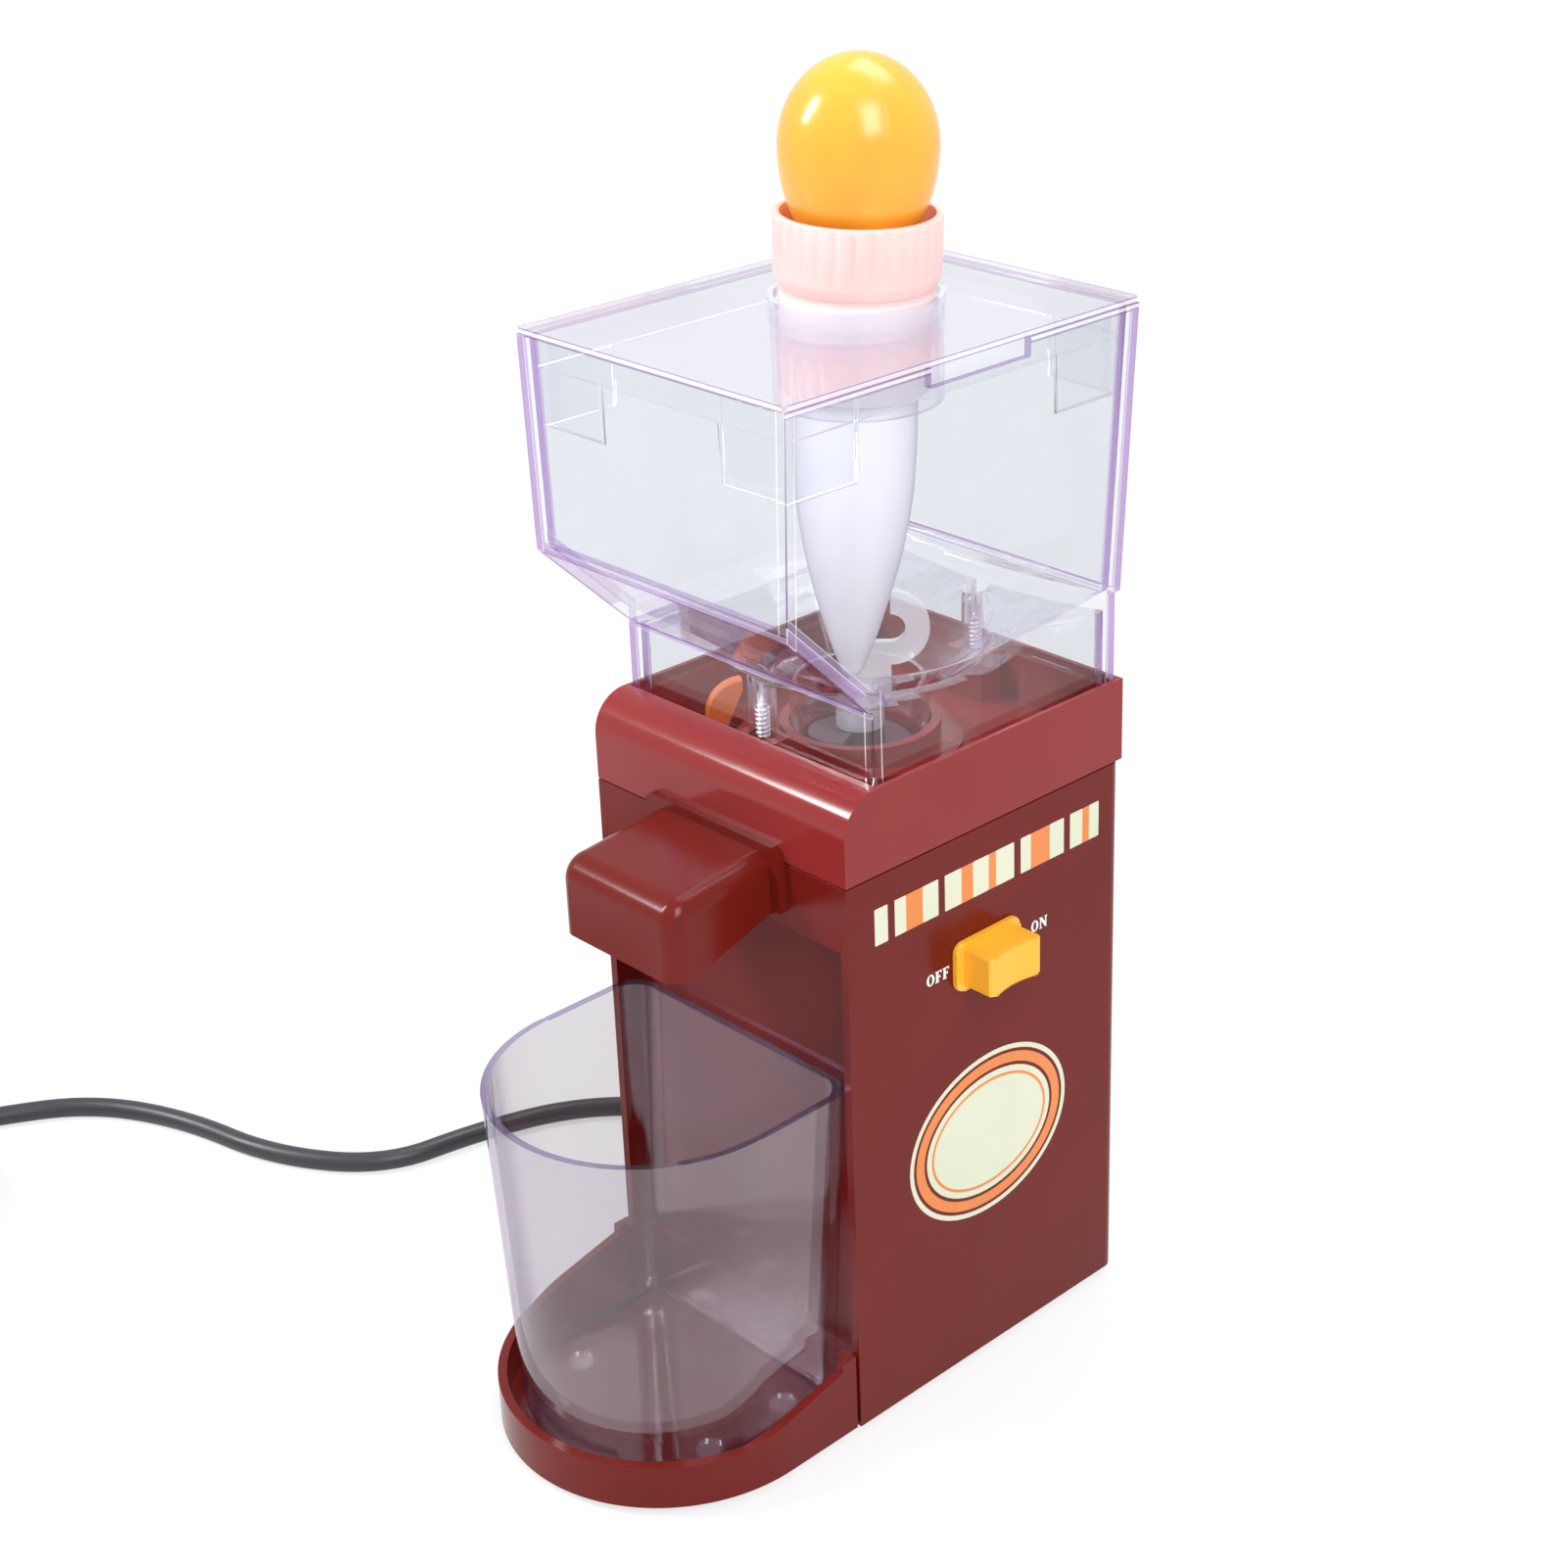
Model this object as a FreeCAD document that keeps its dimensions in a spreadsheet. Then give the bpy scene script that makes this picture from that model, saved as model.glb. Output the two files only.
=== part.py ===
import FreeCAD, Part
import math
import os
import re
import Sketcher

# Nut butter grinder: a clear hopper with a dropper on a red tower, which holds a motor, a gear train
# and two burrs; the paste runs from a spout on the front into a clear cup that stands in a tray.
# Millimetres. While it is drawn, x = 0 is the middle plane with the switch on +x, y = 0 is the tower's
# front face with +y to the back, and z = 0 is the floor. Every piece is then shifted by the same
# amount, so that the origin is under the middle of the whole object.

doc = FreeCAD.newDocument("NutButterGrinder")
sheet = doc.addObject("Spreadsheet::Sheet", "Sizes")

sizes = {
    # tower casing
    "tower_width": 95,
    "tower_depth": 103.6,
    "tower_height": 161.9,
    "shell_wall": 2.5,
    "back_edge_round": 4,
    "seam_gap": 0.4,
    "fit_gap": 0.2,
    "foot_height": 2.5,
    "foot_radius": 7,
    "foot_inset": 15,
    "base_thickness": 2.5,
    "nook_height": 146.3,
    "nook_depth": 7,
    "vent_count": 6,
    "vent_width": 3,
    "vent_length": 46,
    "vent_pitch": 8,
    "vent_height": 60,
    "post_radius": 4,
    "post_inset": 6.5,
    "screw_radius": 1.5,
    "screw_head_radius": 3,
    "screw_head_height": 2,
    "screw_length": 12,
    "screw_clearance": 0.05,
    # cover on top of the tower
    "cover_height": 23.5,
    "cover_wall": 2.5,
    "cover_front_round": 10.5,
    "recess_depth": 15.8,
    "recess_margin": 2.2,
    "floor_thickness": 2.2,
    "seat_ring_radius": 21.6,
    "seat_ring_height": 7.5,
    "seat_step_radius": 27.5,
    "seat_step_height": 2,
    "pad_width": 13,
    "pad_depth": 9,
    # hopper
    "hopper_seat": 2,
    "hopper_seat_gap": 0.3,
    "skirt_front": 12.2,
    "skirt_side_margin": 1.7,
    "skirt_back_margin": 1.7,
    "skirt_height": 20.9,
    "hopper_nose": 27.6,
    "slope_rise": 27.3,
    "back_step": 2.1,
    "back_step_height": 26.6,
    "back_lean": 2.8,
    "hopper_height": 104.4,
    "hopper_width": 96.7,
    "hopper_wall": 2.2,
    "rim_thickness": 1.5,
    "notch_place": 49,
    "notch_length": 34.7,
    "notch_depth": 5.2,
    "throat_place": 52,
    "throat_radius": 16.5,
    "throat_wall": 2.2,
    "throat_depth": 11.8,
    "funnel_low": 2,
    "funnel_knee_radius": 36,
    "funnel_knee": 16.2,
    "funnel_edge_radius": 43.3,
    "funnel_edge": 3.2,
    "funnel_outer_slope": 0.16,
    "funnel_wall": 4.2,
    "boss_radius": 3.8,
    "boss_inset": 5.2,
    # lid with the dropper's socket
    "lid_thickness": 1.7,
    "lid_skirt_wall": 1.4,
    "lid_skirt_depth": 8.5,
    "lid_skirt_gap": 0.5,
    "lid_tab_depth": 24,
    "lid_tab_width": 23,
    "socket_place": 54.5,
    "socket_radius": 22.5,
    "socket_bore": 21,
    "socket_height": 3.3,
    "sleeve_radius": 21.9,
    "sleeve_bore": 20.5,
    "sleeve_depth": 24.2,
    # dropper
    "dropper_lean": 2.1,
    "pivot_rise": 0.1,
    "collar_top_radius": 21.4,
    "collar_radius": 21.1,
    "collar_wall": 2,
    "collar_rise": 23.7,
    "collar_shoulder": 8.5,
    "shoulder_radius": 19.7,
    "shoulder_drop": 4.5,
    "collar_end_radius": 18.7,
    "collar_drop": 22,
    "collar_floor": 16.5,
    "collar_lip": 2.5,
    "flute_count": 30,
    "flute_radius": 1.2,
    "body_radius": 16,
    "body_wall": 1.5,
    "body_top": 13.8,
    "straight_rise": 66,
    "body_waist_radius": 15.4,
    "waist_rise": 51.7,
    "body_neck_radius": 13.4,
    "neck_rise": 37.5,
    "body_cone_radius": 8,
    "cone_rise": 16,
    "body_nose_radius": 3.2,
    "nose_rise": 2.6,
    "body_tip_radius": 1.6,
    "tip_clearance": 5,
    "nozzle_radius": 0.7,
    "bulb_radius": 20.1,
    "bulb_neck_radius": 14.4,
    "bulb_neck_depth": 10,
    "bulb_lower": 20.9,
    "bulb_upper": 22.6,
    "bulb_wall": 1.6,
    # spout
    "spout_width": 44,
    "spout_reach": 35,
    "spout_top": 166.5,
    "spout_top_drop": 2.7,
    "spout_front_round": 7,
    "spout_bottom": 142,
    "spout_root": 150.5,
    "spout_wall": 2,
    "spout_edge_round": 5,
    "flange_width": 51,
    "flange_low": 149.5,
    "flange_high": 168.8,
    "flange_thickness": 2.2,
    "flange_corner": 3,
    # slide switch
    "switch_place": 49.35,
    "switch_height": 127.4,
    "slider_flange_length": 24.5,
    "slider_flange_height": 14.3,
    "slider_flange_thickness": 1.5,
    "slider_flange_corner": 3,
    "slider_length": 19.5,
    "slider_height": 11,
    "slider_reach": 10.2,
    "slider_hollow": 1.4,
    "slider_gap": 0.2,
    "slider_travel": 4,
    "stem_length": 8,
    "stem_height": 5,
    "stem_reach": 9,
    "switch_body_length": 26,
    "switch_body_height": 15,
    "switch_body_depth": 12,
    # cup and tray
    "cup_rim": 104.2,
    "cup_rim_half": 43.3,
    "cup_foot_half": 38.6,
    "cup_foot_back": 0.8,
    "cup_centre": 27,
    "cup_wall": 2,
    "cup_floor": 2.2,
    "cup_boss_radius": 3.8,
    "cup_boss_place": 30,
    "cup_boss_height": 1,
    "tray_half": 47,
    "tray_centre": 25.1,
    "tray_wall": 2.5,
    "tray_floor": 2,
    "tray_front_rim": 15.5,
    "tray_side_rim": 22.8,
    "tray_back_rim": 22.5,
    "tray_ramp_start": 38,
    "tray_gap": 0.8,
    "tray_lug": 25.6,
    "tray_lug_length": 5,
    # grinding chamber and burrs
    "chamber_radius": 33,
    "chamber_wall": 2.5,
    "chamber_base": 147.5,
    "chamber_floor": 3,
    "chamber_height": 14,
    "chute_width": 28,
    "chute_wall": 1.6,
    "chute_height": 11.2,
    "ring_height": 7.5,
    "ring_radius": 33.5,
    "ring_bore": 19,
    "ring_gap": 0.8,
    "burr_radius": 27,
    "burr_bore": 16,
    "burr_height": 10.3,
    "burr_seat": 2.2,
    "burr_gap": 0.4,
    "rotor_height": 7.6,
    "rotor_top_radius": 15,
    "rotor_rim": 2,
    "groove_count": 12,
    "groove_width": 1.6,
    "lever_neck_radius": 35.8,
    "lever_tip_radius": 31.5,
    "lever_curve": 9.8,
    "lever_thickness": 3.8,
    "lever_top": 194.8,
    "lever_lip": 3.1,
    "lever_neck_drop": 12.8,
    "lever_arm_width": 7,
    "lever_angle": 238,
    "lever_travel": 36,
    "lever_slot_gap": 0.6,
    "lever_arm_height": 3,
    # shaft, screw and agitator
    "shaft_radius": 4,
    "shaft_top": 182,
    "screw_low": 159.6,
    "screw_core_radius": 6.5,
    "feed_radius": 14,
    "feed_pitch": 9,
    "flight_thickness": 2,
    "hub_low": 178,
    "hub_high": 186.5,
    "hub_radius": 6.5,
    "hook_offset": 8.5,
    "hook_thickness": 2.5,
    "hook_centre": 8.5,
    "hook_height": 201.5,
    "hook_outer": 10.5,
    "hook_inner": 4,
    "hook_arm_width": 6,
    "bush_radius": 7,
    "bush_gap": 0.05,
    "bush_flange_radius": 9,
    "bush_flange": 1.5,
    # gear train and decks
    "deck_thickness": 4,
    "deck_gap": 0.3,
    "deck_spacing": 41.5,
    "lower_deck_thickness": 3,
    "ledge_height": 3,
    "ledge_depth": 4,
    "ledge_length": 60,
    "deck_post_radius": 4,
    "deck_post_side_margin": 7,
    "deck_post_front_margin": 10.5,
    "deck_post_back_margin": 5.1,
    "drive_module": 1,
    "motor_module": 0.8,
    "wheel_teeth": 48,
    "pinion_teeth": 12,
    "drive_gear_drop": 12.5,
    "drive_gear_height": 8,
    "pinion_overhang": 1.5,
    "idler_gear_drop": 12,
    "idler_gear_height": 6,
    "idler_pin_radius": 2,
    "idler_hub_radius": 5,
    "motor_pinion_height": 10,
    # motor
    "motor_offset": 12,
    "motor_radius": 21,
    "motor_height": 60,
    "motor_wall": 2,
    "end_cap_height": 8,
    "end_cap_radius": 19,
    "motor_shaft_radius": 2.5,
    "shaft_tail": 19,
    "armature_height": 36,
    "armature_rise": 10,
    "commutator_radius": 8,
    "commutator_height": 7,
    "magnet_gap": 0.8,
    "magnet_thickness": 1.8,
    "fan_radius": 18,
    "fan_hub_radius": 5,
    "fan_height": 7,
    "fan_blades": 8,
    "board_length": 34,
    "board_width": 16,
    "board_thickness": 1.6,
    "board_height": 11,
    "board_margin": 11.1,
    # cord
    "cord_radius": 3.1,
    "cord_exit_side": 22,
    "cord_exit_height": 20,
    "relief_length": 26,
    "relief_root_radius": 6,
    "relief_tip_radius": 4.2,
    "relief_collar_radius": 7.5,
    "relief_collar": 2,
    "coil_radius": 33,
    "coil_side": 246,
    "coil_front": 140,
    "coil_height": 12.4,
    "tail_length": 30,
    "plug_length": 36,
    "plug_width": 26,
    "plug_thickness": 13.5,
    "plug_pin_radius": 2,
    "plug_pin_length": 19,
    "plug_pin_pitch": 19,
}

for row, (alias, number) in enumerate(sizes.items(), start=1):
    sheet.set(f"A{row}", alias)
    sheet.set(f"B{row}", str(number))
    sheet.setAlias(f"B{row}", alias)
doc.recompute()

# Places that follow from the sizes.
places = {
    "half_width": "tower_width / 2",
    "inner_half": "half_width - shell_wall",
    "seam": "foot_height + tower_height",
    "cover_base": "seam + seam_gap",
    "cover_top": "cover_base + cover_height",
    "base_top": "foot_height + base_thickness",
    "back_inside": "tower_depth - shell_wall",
    "recess_floor": "cover_top - recess_depth",
    "floor_underside": "recess_floor - floor_thickness",
    "skirt_half": "half_width - skirt_side_margin",
    "skirt_back": "tower_depth - skirt_back_margin",
    "skirt_foot": "cover_top - hopper_seat",
    "skirt_top": "skirt_foot + skirt_height",
    "hopper_front": "skirt_front - hopper_nose",
    "step_height": "skirt_foot + back_step_height",
    "back_foot": "skirt_back + back_step",
    "hopper_back": "back_foot + back_lean",
    "slope_top": "skirt_top + slope_rise",
    "hopper_top": "skirt_foot + hopper_height",
    "lid_top": "hopper_top + lid_thickness",
    "lid_half": "hopper_width / 2",
    "throat_foot": "skirt_foot - throat_depth",
    "throat_outer": "throat_radius + throat_wall",
    "funnel_base": "skirt_foot + funnel_low + 2",
    "funnel_bend": "funnel_base + funnel_knee",
    "funnel_rim": "funnel_bend + funnel_edge",
    "boss_front": "skirt_front + boss_inset",
    "boss_back": "skirt_back - boss_inset",
    "tray_front": "0 - tray_centre - tray_half",
    "slider_face": "half_width + slider_gap + slider_flange_thickness + slider_reach - slider_gap",
    "middle_x": "(slider_face - lid_half) / 2",
    "middle_y": "(hopper_back + tray_front) / 2",
    "ring_top": "floor_underside - ring_gap",
    "ring_low": "ring_top - ring_height",
    "chamber_floor_top": "chamber_base + chamber_floor",
    "chamber_top": "chamber_base + chamber_height",
    "burr_top": "ring_low + burr_seat",
    "burr_low": "burr_top - burr_height",
    "rotor_low": "chamber_floor_top + burr_gap",
    "rotor_top": "rotor_low + rotor_height",
    "deck_low": "chamber_base - deck_thickness",
    "lower_deck_height": "deck_low - deck_spacing",
    "lower_deck_top": "lower_deck_height + lower_deck_thickness",
    "drive_gear_low": "deck_low - drive_gear_drop",
    "idler_gear_low": "drive_gear_low - idler_gear_drop",
    "motor_place": "throat_place + motor_offset",
    "drive_centres": "drive_module * (wheel_teeth + pinion_teeth) / 2",
    "motor_centres": "motor_module * (wheel_teeth + pinion_teeth) / 2",
    "idler_ahead": "(drive_centres^2 - motor_centres^2 + motor_offset^2) / (2 * motor_offset)",
    "idler_aside": "sqrt(drive_centres^2 - idler_ahead^2)",
    "idler_place": "throat_place + idler_ahead",
    "motor_low": "lower_deck_height - motor_height",
    "armature_low": "motor_low + armature_rise",
    "motor_shaft_low": "motor_low - shaft_tail",
    "relief_end": "tower_depth + relief_length",
    "tail_side": "0 - coil_front - coil_radius - cord_radius",
    "tail_end": "tail_length - coil_side",
    "plug_face": "tail_end + plug_length",
    "plug_middle": "plug_thickness / 2",
    "lever_reach": "lever_tip_radius + lever_curve",
    "lever_margin": "atan((lever_thickness / 2 + lever_slot_gap) / lever_neck_radius) / 1deg",
    "deck_post_x": "inner_half - deck_post_side_margin",
    "deck_post_front": "nook_depth + shell_wall + deck_post_front_margin",
    "deck_post_back": "back_inside - deck_post_back_margin",
    "board_place": "back_inside - board_margin",
    "body_tip": "lid_top + pivot_rise - hub_high - tip_clearance",
    "body_nose": "body_tip - nose_rise",
    "body_cone": "body_tip - cone_rise",
    "body_neck": "body_tip - neck_rise",
    "body_waist": "body_tip - waist_rise",
    "body_straight_end": "body_tip - straight_rise",
}
word = re.compile(r"[a-z][a-z_0-9]*")


def spell(formula):
    # The formula with every size as a cell of the sheet and every place worked out from sizes.
    def swap(match):
        name = match.group(0)
        if name in places:
            return "(" + spell(places[name]) + ")"
        if name in sizes:
            return "Sizes." + name
        return name
    return word.sub(swap, str(formula))


def value(formula):
    result = sheet.evalExpression(spell(formula))
    return float(getattr(result, "Value", result))


def bind(item, name, formula):
    item.setExpression(name, spell(formula))


# Where each solid stands, so that its node can be shifted to the shared origin.
stands = {}


def place(item, x="0", y="0", z="0", turn=None):
    if turn:
        axis, angle = turn
        item.Placement = FreeCAD.Placement(FreeCAD.Vector(), FreeCAD.Rotation(FreeCAD.Vector(*axis), 1))
        bind(item, "Placement.Rotation.Angle", angle)
    for name, formula in zip("xyz", (x, y, z)):
        bind(item, "Placement.Base." + name, formula)
    stands[item.Name] = (x, y)
    return item


def box(name, x, y, z):
    item = doc.addObject("Part::Box", name)
    for side, (low, high) in zip(("Length", "Width", "Height"), (x, y, z)):
        bind(item, side, f"({high}) - ({low})")
    return place(item, x[0], y[0], z[0])


turns = {
    "x": FreeCAD.Rotation(FreeCAD.Vector(0, 1, 0), 90),
    "y": FreeCAD.Rotation(FreeCAD.Vector(1, 0, 0), -90),
    "z": FreeCAD.Rotation(),
}


def lay(item, low, centre, along):
    first, second = centre
    spots = {"x": (low, first, second), "y": (first, low, second), "z": (first, second, low)}
    item.Placement = FreeCAD.Placement(FreeCAD.Vector(), turns[along])
    return place(item, *spots[along])


def rod(name, radius, low, high, centre, along="z"):
    item = doc.addObject("Part::Cylinder", name)
    bind(item, "Radius", radius)
    bind(item, "Height", f"({high}) - ({low})")
    return lay(item, low, centre, along)


def taper(name, low_radius, high_radius, low, high, centre, along="z"):
    item = doc.addObject("Part::Cone", name)
    bind(item, "Radius1", low_radius)
    bind(item, "Radius2", high_radius)
    bind(item, "Height", f"({high}) - ({low})")
    return lay(item, low, centre, along)


def join(name, *items):
    item = doc.addObject("Part::MultiFuse", name)
    item.Shapes = list(items)
    item.Refine = True
    return item


def cut(name, base, *tools):
    item = doc.addObject("Part::Cut", name)
    item.Base = base
    item.Tool = tools[0] if len(tools) == 1 else join(name + "_tools", *tools)
    item.Refine = True
    return item


def common(name, first, second):
    item = doc.addObject("Part::Common", name)
    item.Base = first
    item.Tool = second
    return item


def group(name, *items):
    item = doc.addObject("Part::Compound", name)
    item.Links = list(items)
    return item


def body(name):
    return doc.addObject("PartDesign::Body", name)


def rename(item, number, name, formula):
    item.renameConstraint(number, name)
    bind(item, "Constraints." + name, formula)


def sketch(owner, plane, loops, offset="0"):
    # Closed loops. A corner is (x, y), and (x, y, centre x, centre y, way) starts an arc to the next
    # corner, anticlockwise where way is 1; ("circle", x, y, radius) is a whole circle.
    item = owner.newObject("Sketcher::SketchObject", owner.Name + "_sketch")
    item.AttachmentSupport = [(next(o for o in owner.Origin.OriginFeatures if o.Role == plane + "_Plane"),
                               "")]
    item.MapMode = "FlatFace"
    bind(item, "AttachmentOffset.Base.z", offset)
    for loop in loops:
        if loop[0] == "circle":
            circle(item, *loop[1:])
            continue
        first = item.GeometryCount
        spots = [FreeCAD.Vector(value(corner[0]), value(corner[1]), 0) for corner in loop]
        ends = []
        for here, corner in enumerate(loop):
            start = spots[here]
            end = spots[(here + 1) % len(loop)]
            ends.append(edge(item, corner, start, end))
        for here, corner in enumerate(loop):
            number = first + here
            head, tail = ends[here]
            after = (here + 1) % len(loop)
            item.addConstraint(Sketcher.Constraint("Coincident", number, tail, first + after, ends[after][0]))
            for axis, formula in zip("XY", corner[:2]):
                pinned = item.addConstraint(
                    Sketcher.Constraint("Distance" + axis, -1, 1, number, head, value(formula)))
                rename(item, pinned, f"{axis.lower()}_of_{number}", formula)
            if len(corner) > 2:
                span = spots[after] - spots[here]
                axis = "Y" if abs(span.x) >= abs(span.y) else "X"
                formula = corner[2] if axis == "X" else corner[3]
                pinned = item.addConstraint(
                    Sketcher.Constraint("Distance" + axis, -1, 1, number, 3, value(formula)))
                rename(item, pinned, f"centre_of_{number}", formula)
    return item


def edge(item, corner, start, end):
    if len(corner) == 2:
        item.addGeometry(Part.LineSegment(start, end), False)
        return 1, 2
    centre = FreeCAD.Vector(value(corner[2]), value(corner[3]), 0)
    way = corner[4]
    radius = (start - centre).Length
    ring = Part.Circle(centre, FreeCAD.Vector(0, 0, 1), radius)
    low, high = (start, end) if way > 0 else (end, start)
    angles = [math.atan2(spot.y - centre.y, spot.x - centre.x) for spot in (low, high)]
    item.addGeometry(Part.ArcOfCircle(ring, *angles), False)
    return (1, 2) if way > 0 else (2, 1)


def circle(item, x, y, radius):
    centre = FreeCAD.Vector(value(x), value(y), 0)
    number = item.addGeometry(Part.Circle(centre, FreeCAD.Vector(0, 0, 1), value(radius)), False)
    for axis, formula in (("X", x), ("Y", y)):
        pinned = item.addConstraint(Sketcher.Constraint("Distance" + axis, -1, 1, number, 3, value(formula)))
        rename(item, pinned, f"{axis.lower()}_of_{number}", formula)
    pinned = item.addConstraint(Sketcher.Constraint("Radius", number, value(radius)))
    rename(item, pinned, f"radius_of_{number}", radius)


def rounded(x, y, radius):
    # A rectangle between two x and two y, with its corners rounded.
    (left, right), (low, high) = x, y
    inside = (f"{left} + {radius}", f"{right} - {radius}", f"{low} + {radius}", f"{high} - {radius}")
    near, far, under, over = inside
    return [
        (near, low), (far, low, far, under, 1), (right, under), (right, over, far, over, 1),
        (far, high), (near, high, near, over, 1), (left, over), (left, under, near, under, 1)]


def pad(owner, profile, length, both=False, back=False, narrow=None):
    item = owner.newObject("PartDesign::Pad", owner.Name + "_pad")
    item.Profile = profile
    bind(item, "Length", length)
    item.Reversed = back
    if both:
        item.SideType = "Symmetric"
    if narrow:
        bind(item, "TaperAngle", narrow)
    return item


def pocket(owner, profile, length, back=False, both=False):
    item = owner.newObject("PartDesign::Pocket", owner.Name + "_pocket")
    item.Profile = profile
    bind(item, "Length", length)
    item.Reversed = back
    if both:
        item.SideType = "Symmetric"
    return item


def upright(name, loops, low, high, narrow=None):
    # An outline on the floor plan, padded up from low to high.
    owner = body(name)
    pad(owner, sketch(owner, "XY", loops, low), f"({high}) - ({low})", narrow=narrow)
    return owner


def across(name, loops, width):
    # A side outline (y, z), padded to both sides of the middle plane.
    owner = body(name)
    pad(owner, sketch(owner, "YZ", loops), width, both=True)
    return owner


def lengthways(name, loops, low, high):
    # A front outline (x, z), padded back from y = low to y = high.
    owner = body(name)
    pad(owner, sketch(owner, "XZ", loops, f"0 - ({low})"), f"({high}) - ({low})", back=True)
    return owner


def turned(name, loops, x="0", y="0"):
    # Outlines (radius, z), turned about an upright axis at x, y.
    owner = body(name)
    profile = sketch(owner, "XZ", loops)
    item = owner.newObject("PartDesign::Revolution", name + "_turn")
    item.Profile = profile
    item.ReferenceAxis = (profile, ["V_Axis"])
    item.Angle = 360
    return place(owner, x, y)


def pattern(owner, feature, count):
    item = owner.newObject("PartDesign::PolarPattern", owner.Name + "_pattern")
    item.Originals = [feature]
    item.Axis = (next(o for o in owner.Origin.OriginFeatures if o.Role == "Z_Axis"), [""])
    item.Angle = 360
    bind(item, "Occurrences", count)
    owner.Tip = item
    return item


def ease(owner, feature, radius, wanted):
    # Rounds the edges of the body's last feature that pass the test.
    doc.recompute()
    names = [f"Edge{number}" for number, line in enumerate(feature.Shape.Edges, start=1) if wanted(line)]
    item = owner.newObject("PartDesign::Fillet", owner.Name + "_fillet")
    item.Base = (feature, names)
    bind(item, "Radius", radius)
    owner.Tip = item
    return item


def is_upright(line):
    ends = [vertex.Point for vertex in line.Vertexes]
    return len(ends) == 2 and abs((ends[1] - ends[0]).normalize().z) > 0.9


nodes = {}


def node(label, item):
    x, y = stands.get(item.Name, ("0", "0"))
    item.Label = label
    bind(item, "Placement.Base.x", f"({x}) - middle_x")
    bind(item, "Placement.Base.y", f"({y}) - middle_y")
    nodes[label] = item
    return item


# ---- Tower ----
def tower_shell():
    corner = "back_edge_round"
    inner = "back_edge_round - shell_wall"
    plan = [
        ("half_width", "0"),
        ("half_width", f"tower_depth - {corner}",
         f"half_width - {corner}", f"tower_depth - {corner}", 1),
        (f"half_width - {corner}", "tower_depth"),
        (f"0 - half_width + {corner}", "tower_depth",
         f"0 - half_width + {corner}", f"tower_depth - {corner}", 1),
        ("0 - half_width", f"tower_depth - {corner}"),
        ("0 - half_width", "0"),
        ("0 - inner_half", "0"),
        ("0 - inner_half", f"back_inside - ({inner})",
         f"0 - inner_half + {inner}", f"back_inside - ({inner})", -1),
        (f"0 - inner_half + {inner}", "back_inside"),
        (f"inner_half - ({inner})", "back_inside",
         f"inner_half - ({inner})", f"back_inside - ({inner})", -1),
        ("inner_half", f"back_inside - ({inner})"),
        ("inner_half", "0"),
    ]
    walls = upright("tower_walls", [plan], "foot_height", "seam")
    added = []
    for side, sign in (("left", "0 - "), ("right", "")):
        low = f"{sign}(inner_half - ledge_depth)"
        high = f"{sign}(inner_half + shell_wall / 2)"
        span = (high, low) if sign else (low, high)
        middle = "tower_depth / 2"
        added.append(box(f"ledge_{side}", span, (f"{middle} - ledge_length / 2",
                                                 f"{middle} + ledge_length / 2"),
                         ("lower_deck_height - ledge_height", "lower_deck_height")))
    taken = []
    for side, sign in (("left", "0 - "), ("right", "")):
        spot = (f"{sign}(half_width - post_inset)", "tower_depth - post_inset")
        added.append(rod(f"post_{side}", "post_radius + 1", "base_top", "base_top + screw_length", spot))
        taken.append(rod(f"post_bore_{side}", "screw_radius + screw_clearance",
                         "base_top - 1", "base_top + screw_length + 1", spot))
    for number in range(int(sizes["vent_count"])):
        middle = f"(vent_height + {number} * vent_pitch)"
        taken.append(box(f"vent_{number}", ("0 - vent_length / 2", "vent_length / 2"),
                         ("back_inside - 1", "tower_depth + 1"),
                         (f"{middle} - vent_width / 2", f"{middle} + vent_width / 2")))
    taken.append(rod("cord_hole", "relief_root_radius + fit_gap", "back_inside - 1", "tower_depth + 1",
                     ("0 - cord_exit_side", "cord_exit_height"), "y"))
    slot = "(stem_length / 2 + fit_gap)"
    taken.append(box("switch_slot", ("inner_half - 1", "half_width + 1"),
                     (f"switch_place - {slot}", f"switch_place + slider_travel + {slot}"),
                     ("switch_height - stem_height / 2 - fit_gap",
                      "switch_height + stem_height / 2 + fit_gap")))
    node("tower_shell", cut("tower_cut", join("tower_sum", walls, *added), *taken))


def front_panel():
    inside = "nook_depth + shell_wall"
    side = [
        ("0", "seam"), ("0", "nook_height"), ("nook_depth", "nook_height"),
        ("nook_depth", "base_top + fit_gap"),
        (inside, "base_top + fit_gap"), (inside, "nook_height + shell_wall"),
        ("shell_wall", "nook_height + shell_wall"), ("shell_wall", "seam")]
    panel = across("front_sheet", [side], "2 * (inner_half - fit_gap / 4)")
    window = box("chute_window", ("0 - chute_width / 2 - fit_gap", "chute_width / 2 + fit_gap"),
                 ("0 - 1", "shell_wall + 1"),
                 ("chamber_floor_top - chute_wall - fit_gap",
                  "chamber_floor_top - chute_wall + chute_height + fit_gap"))
    holes = []
    for name, sign in (("left", "0 - "), ("right", "")):
        holes.append(rod(f"spout_hole_{name}", "screw_radius + screw_clearance", "0 - 1", "shell_wall + 1",
                         (f"{sign}(chute_width / 2 + 2.5 * screw_radius)", "chamber_floor_top + 4"), "y"))
    node("front_panel", cut("front_cut", panel, window, *holes))


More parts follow.
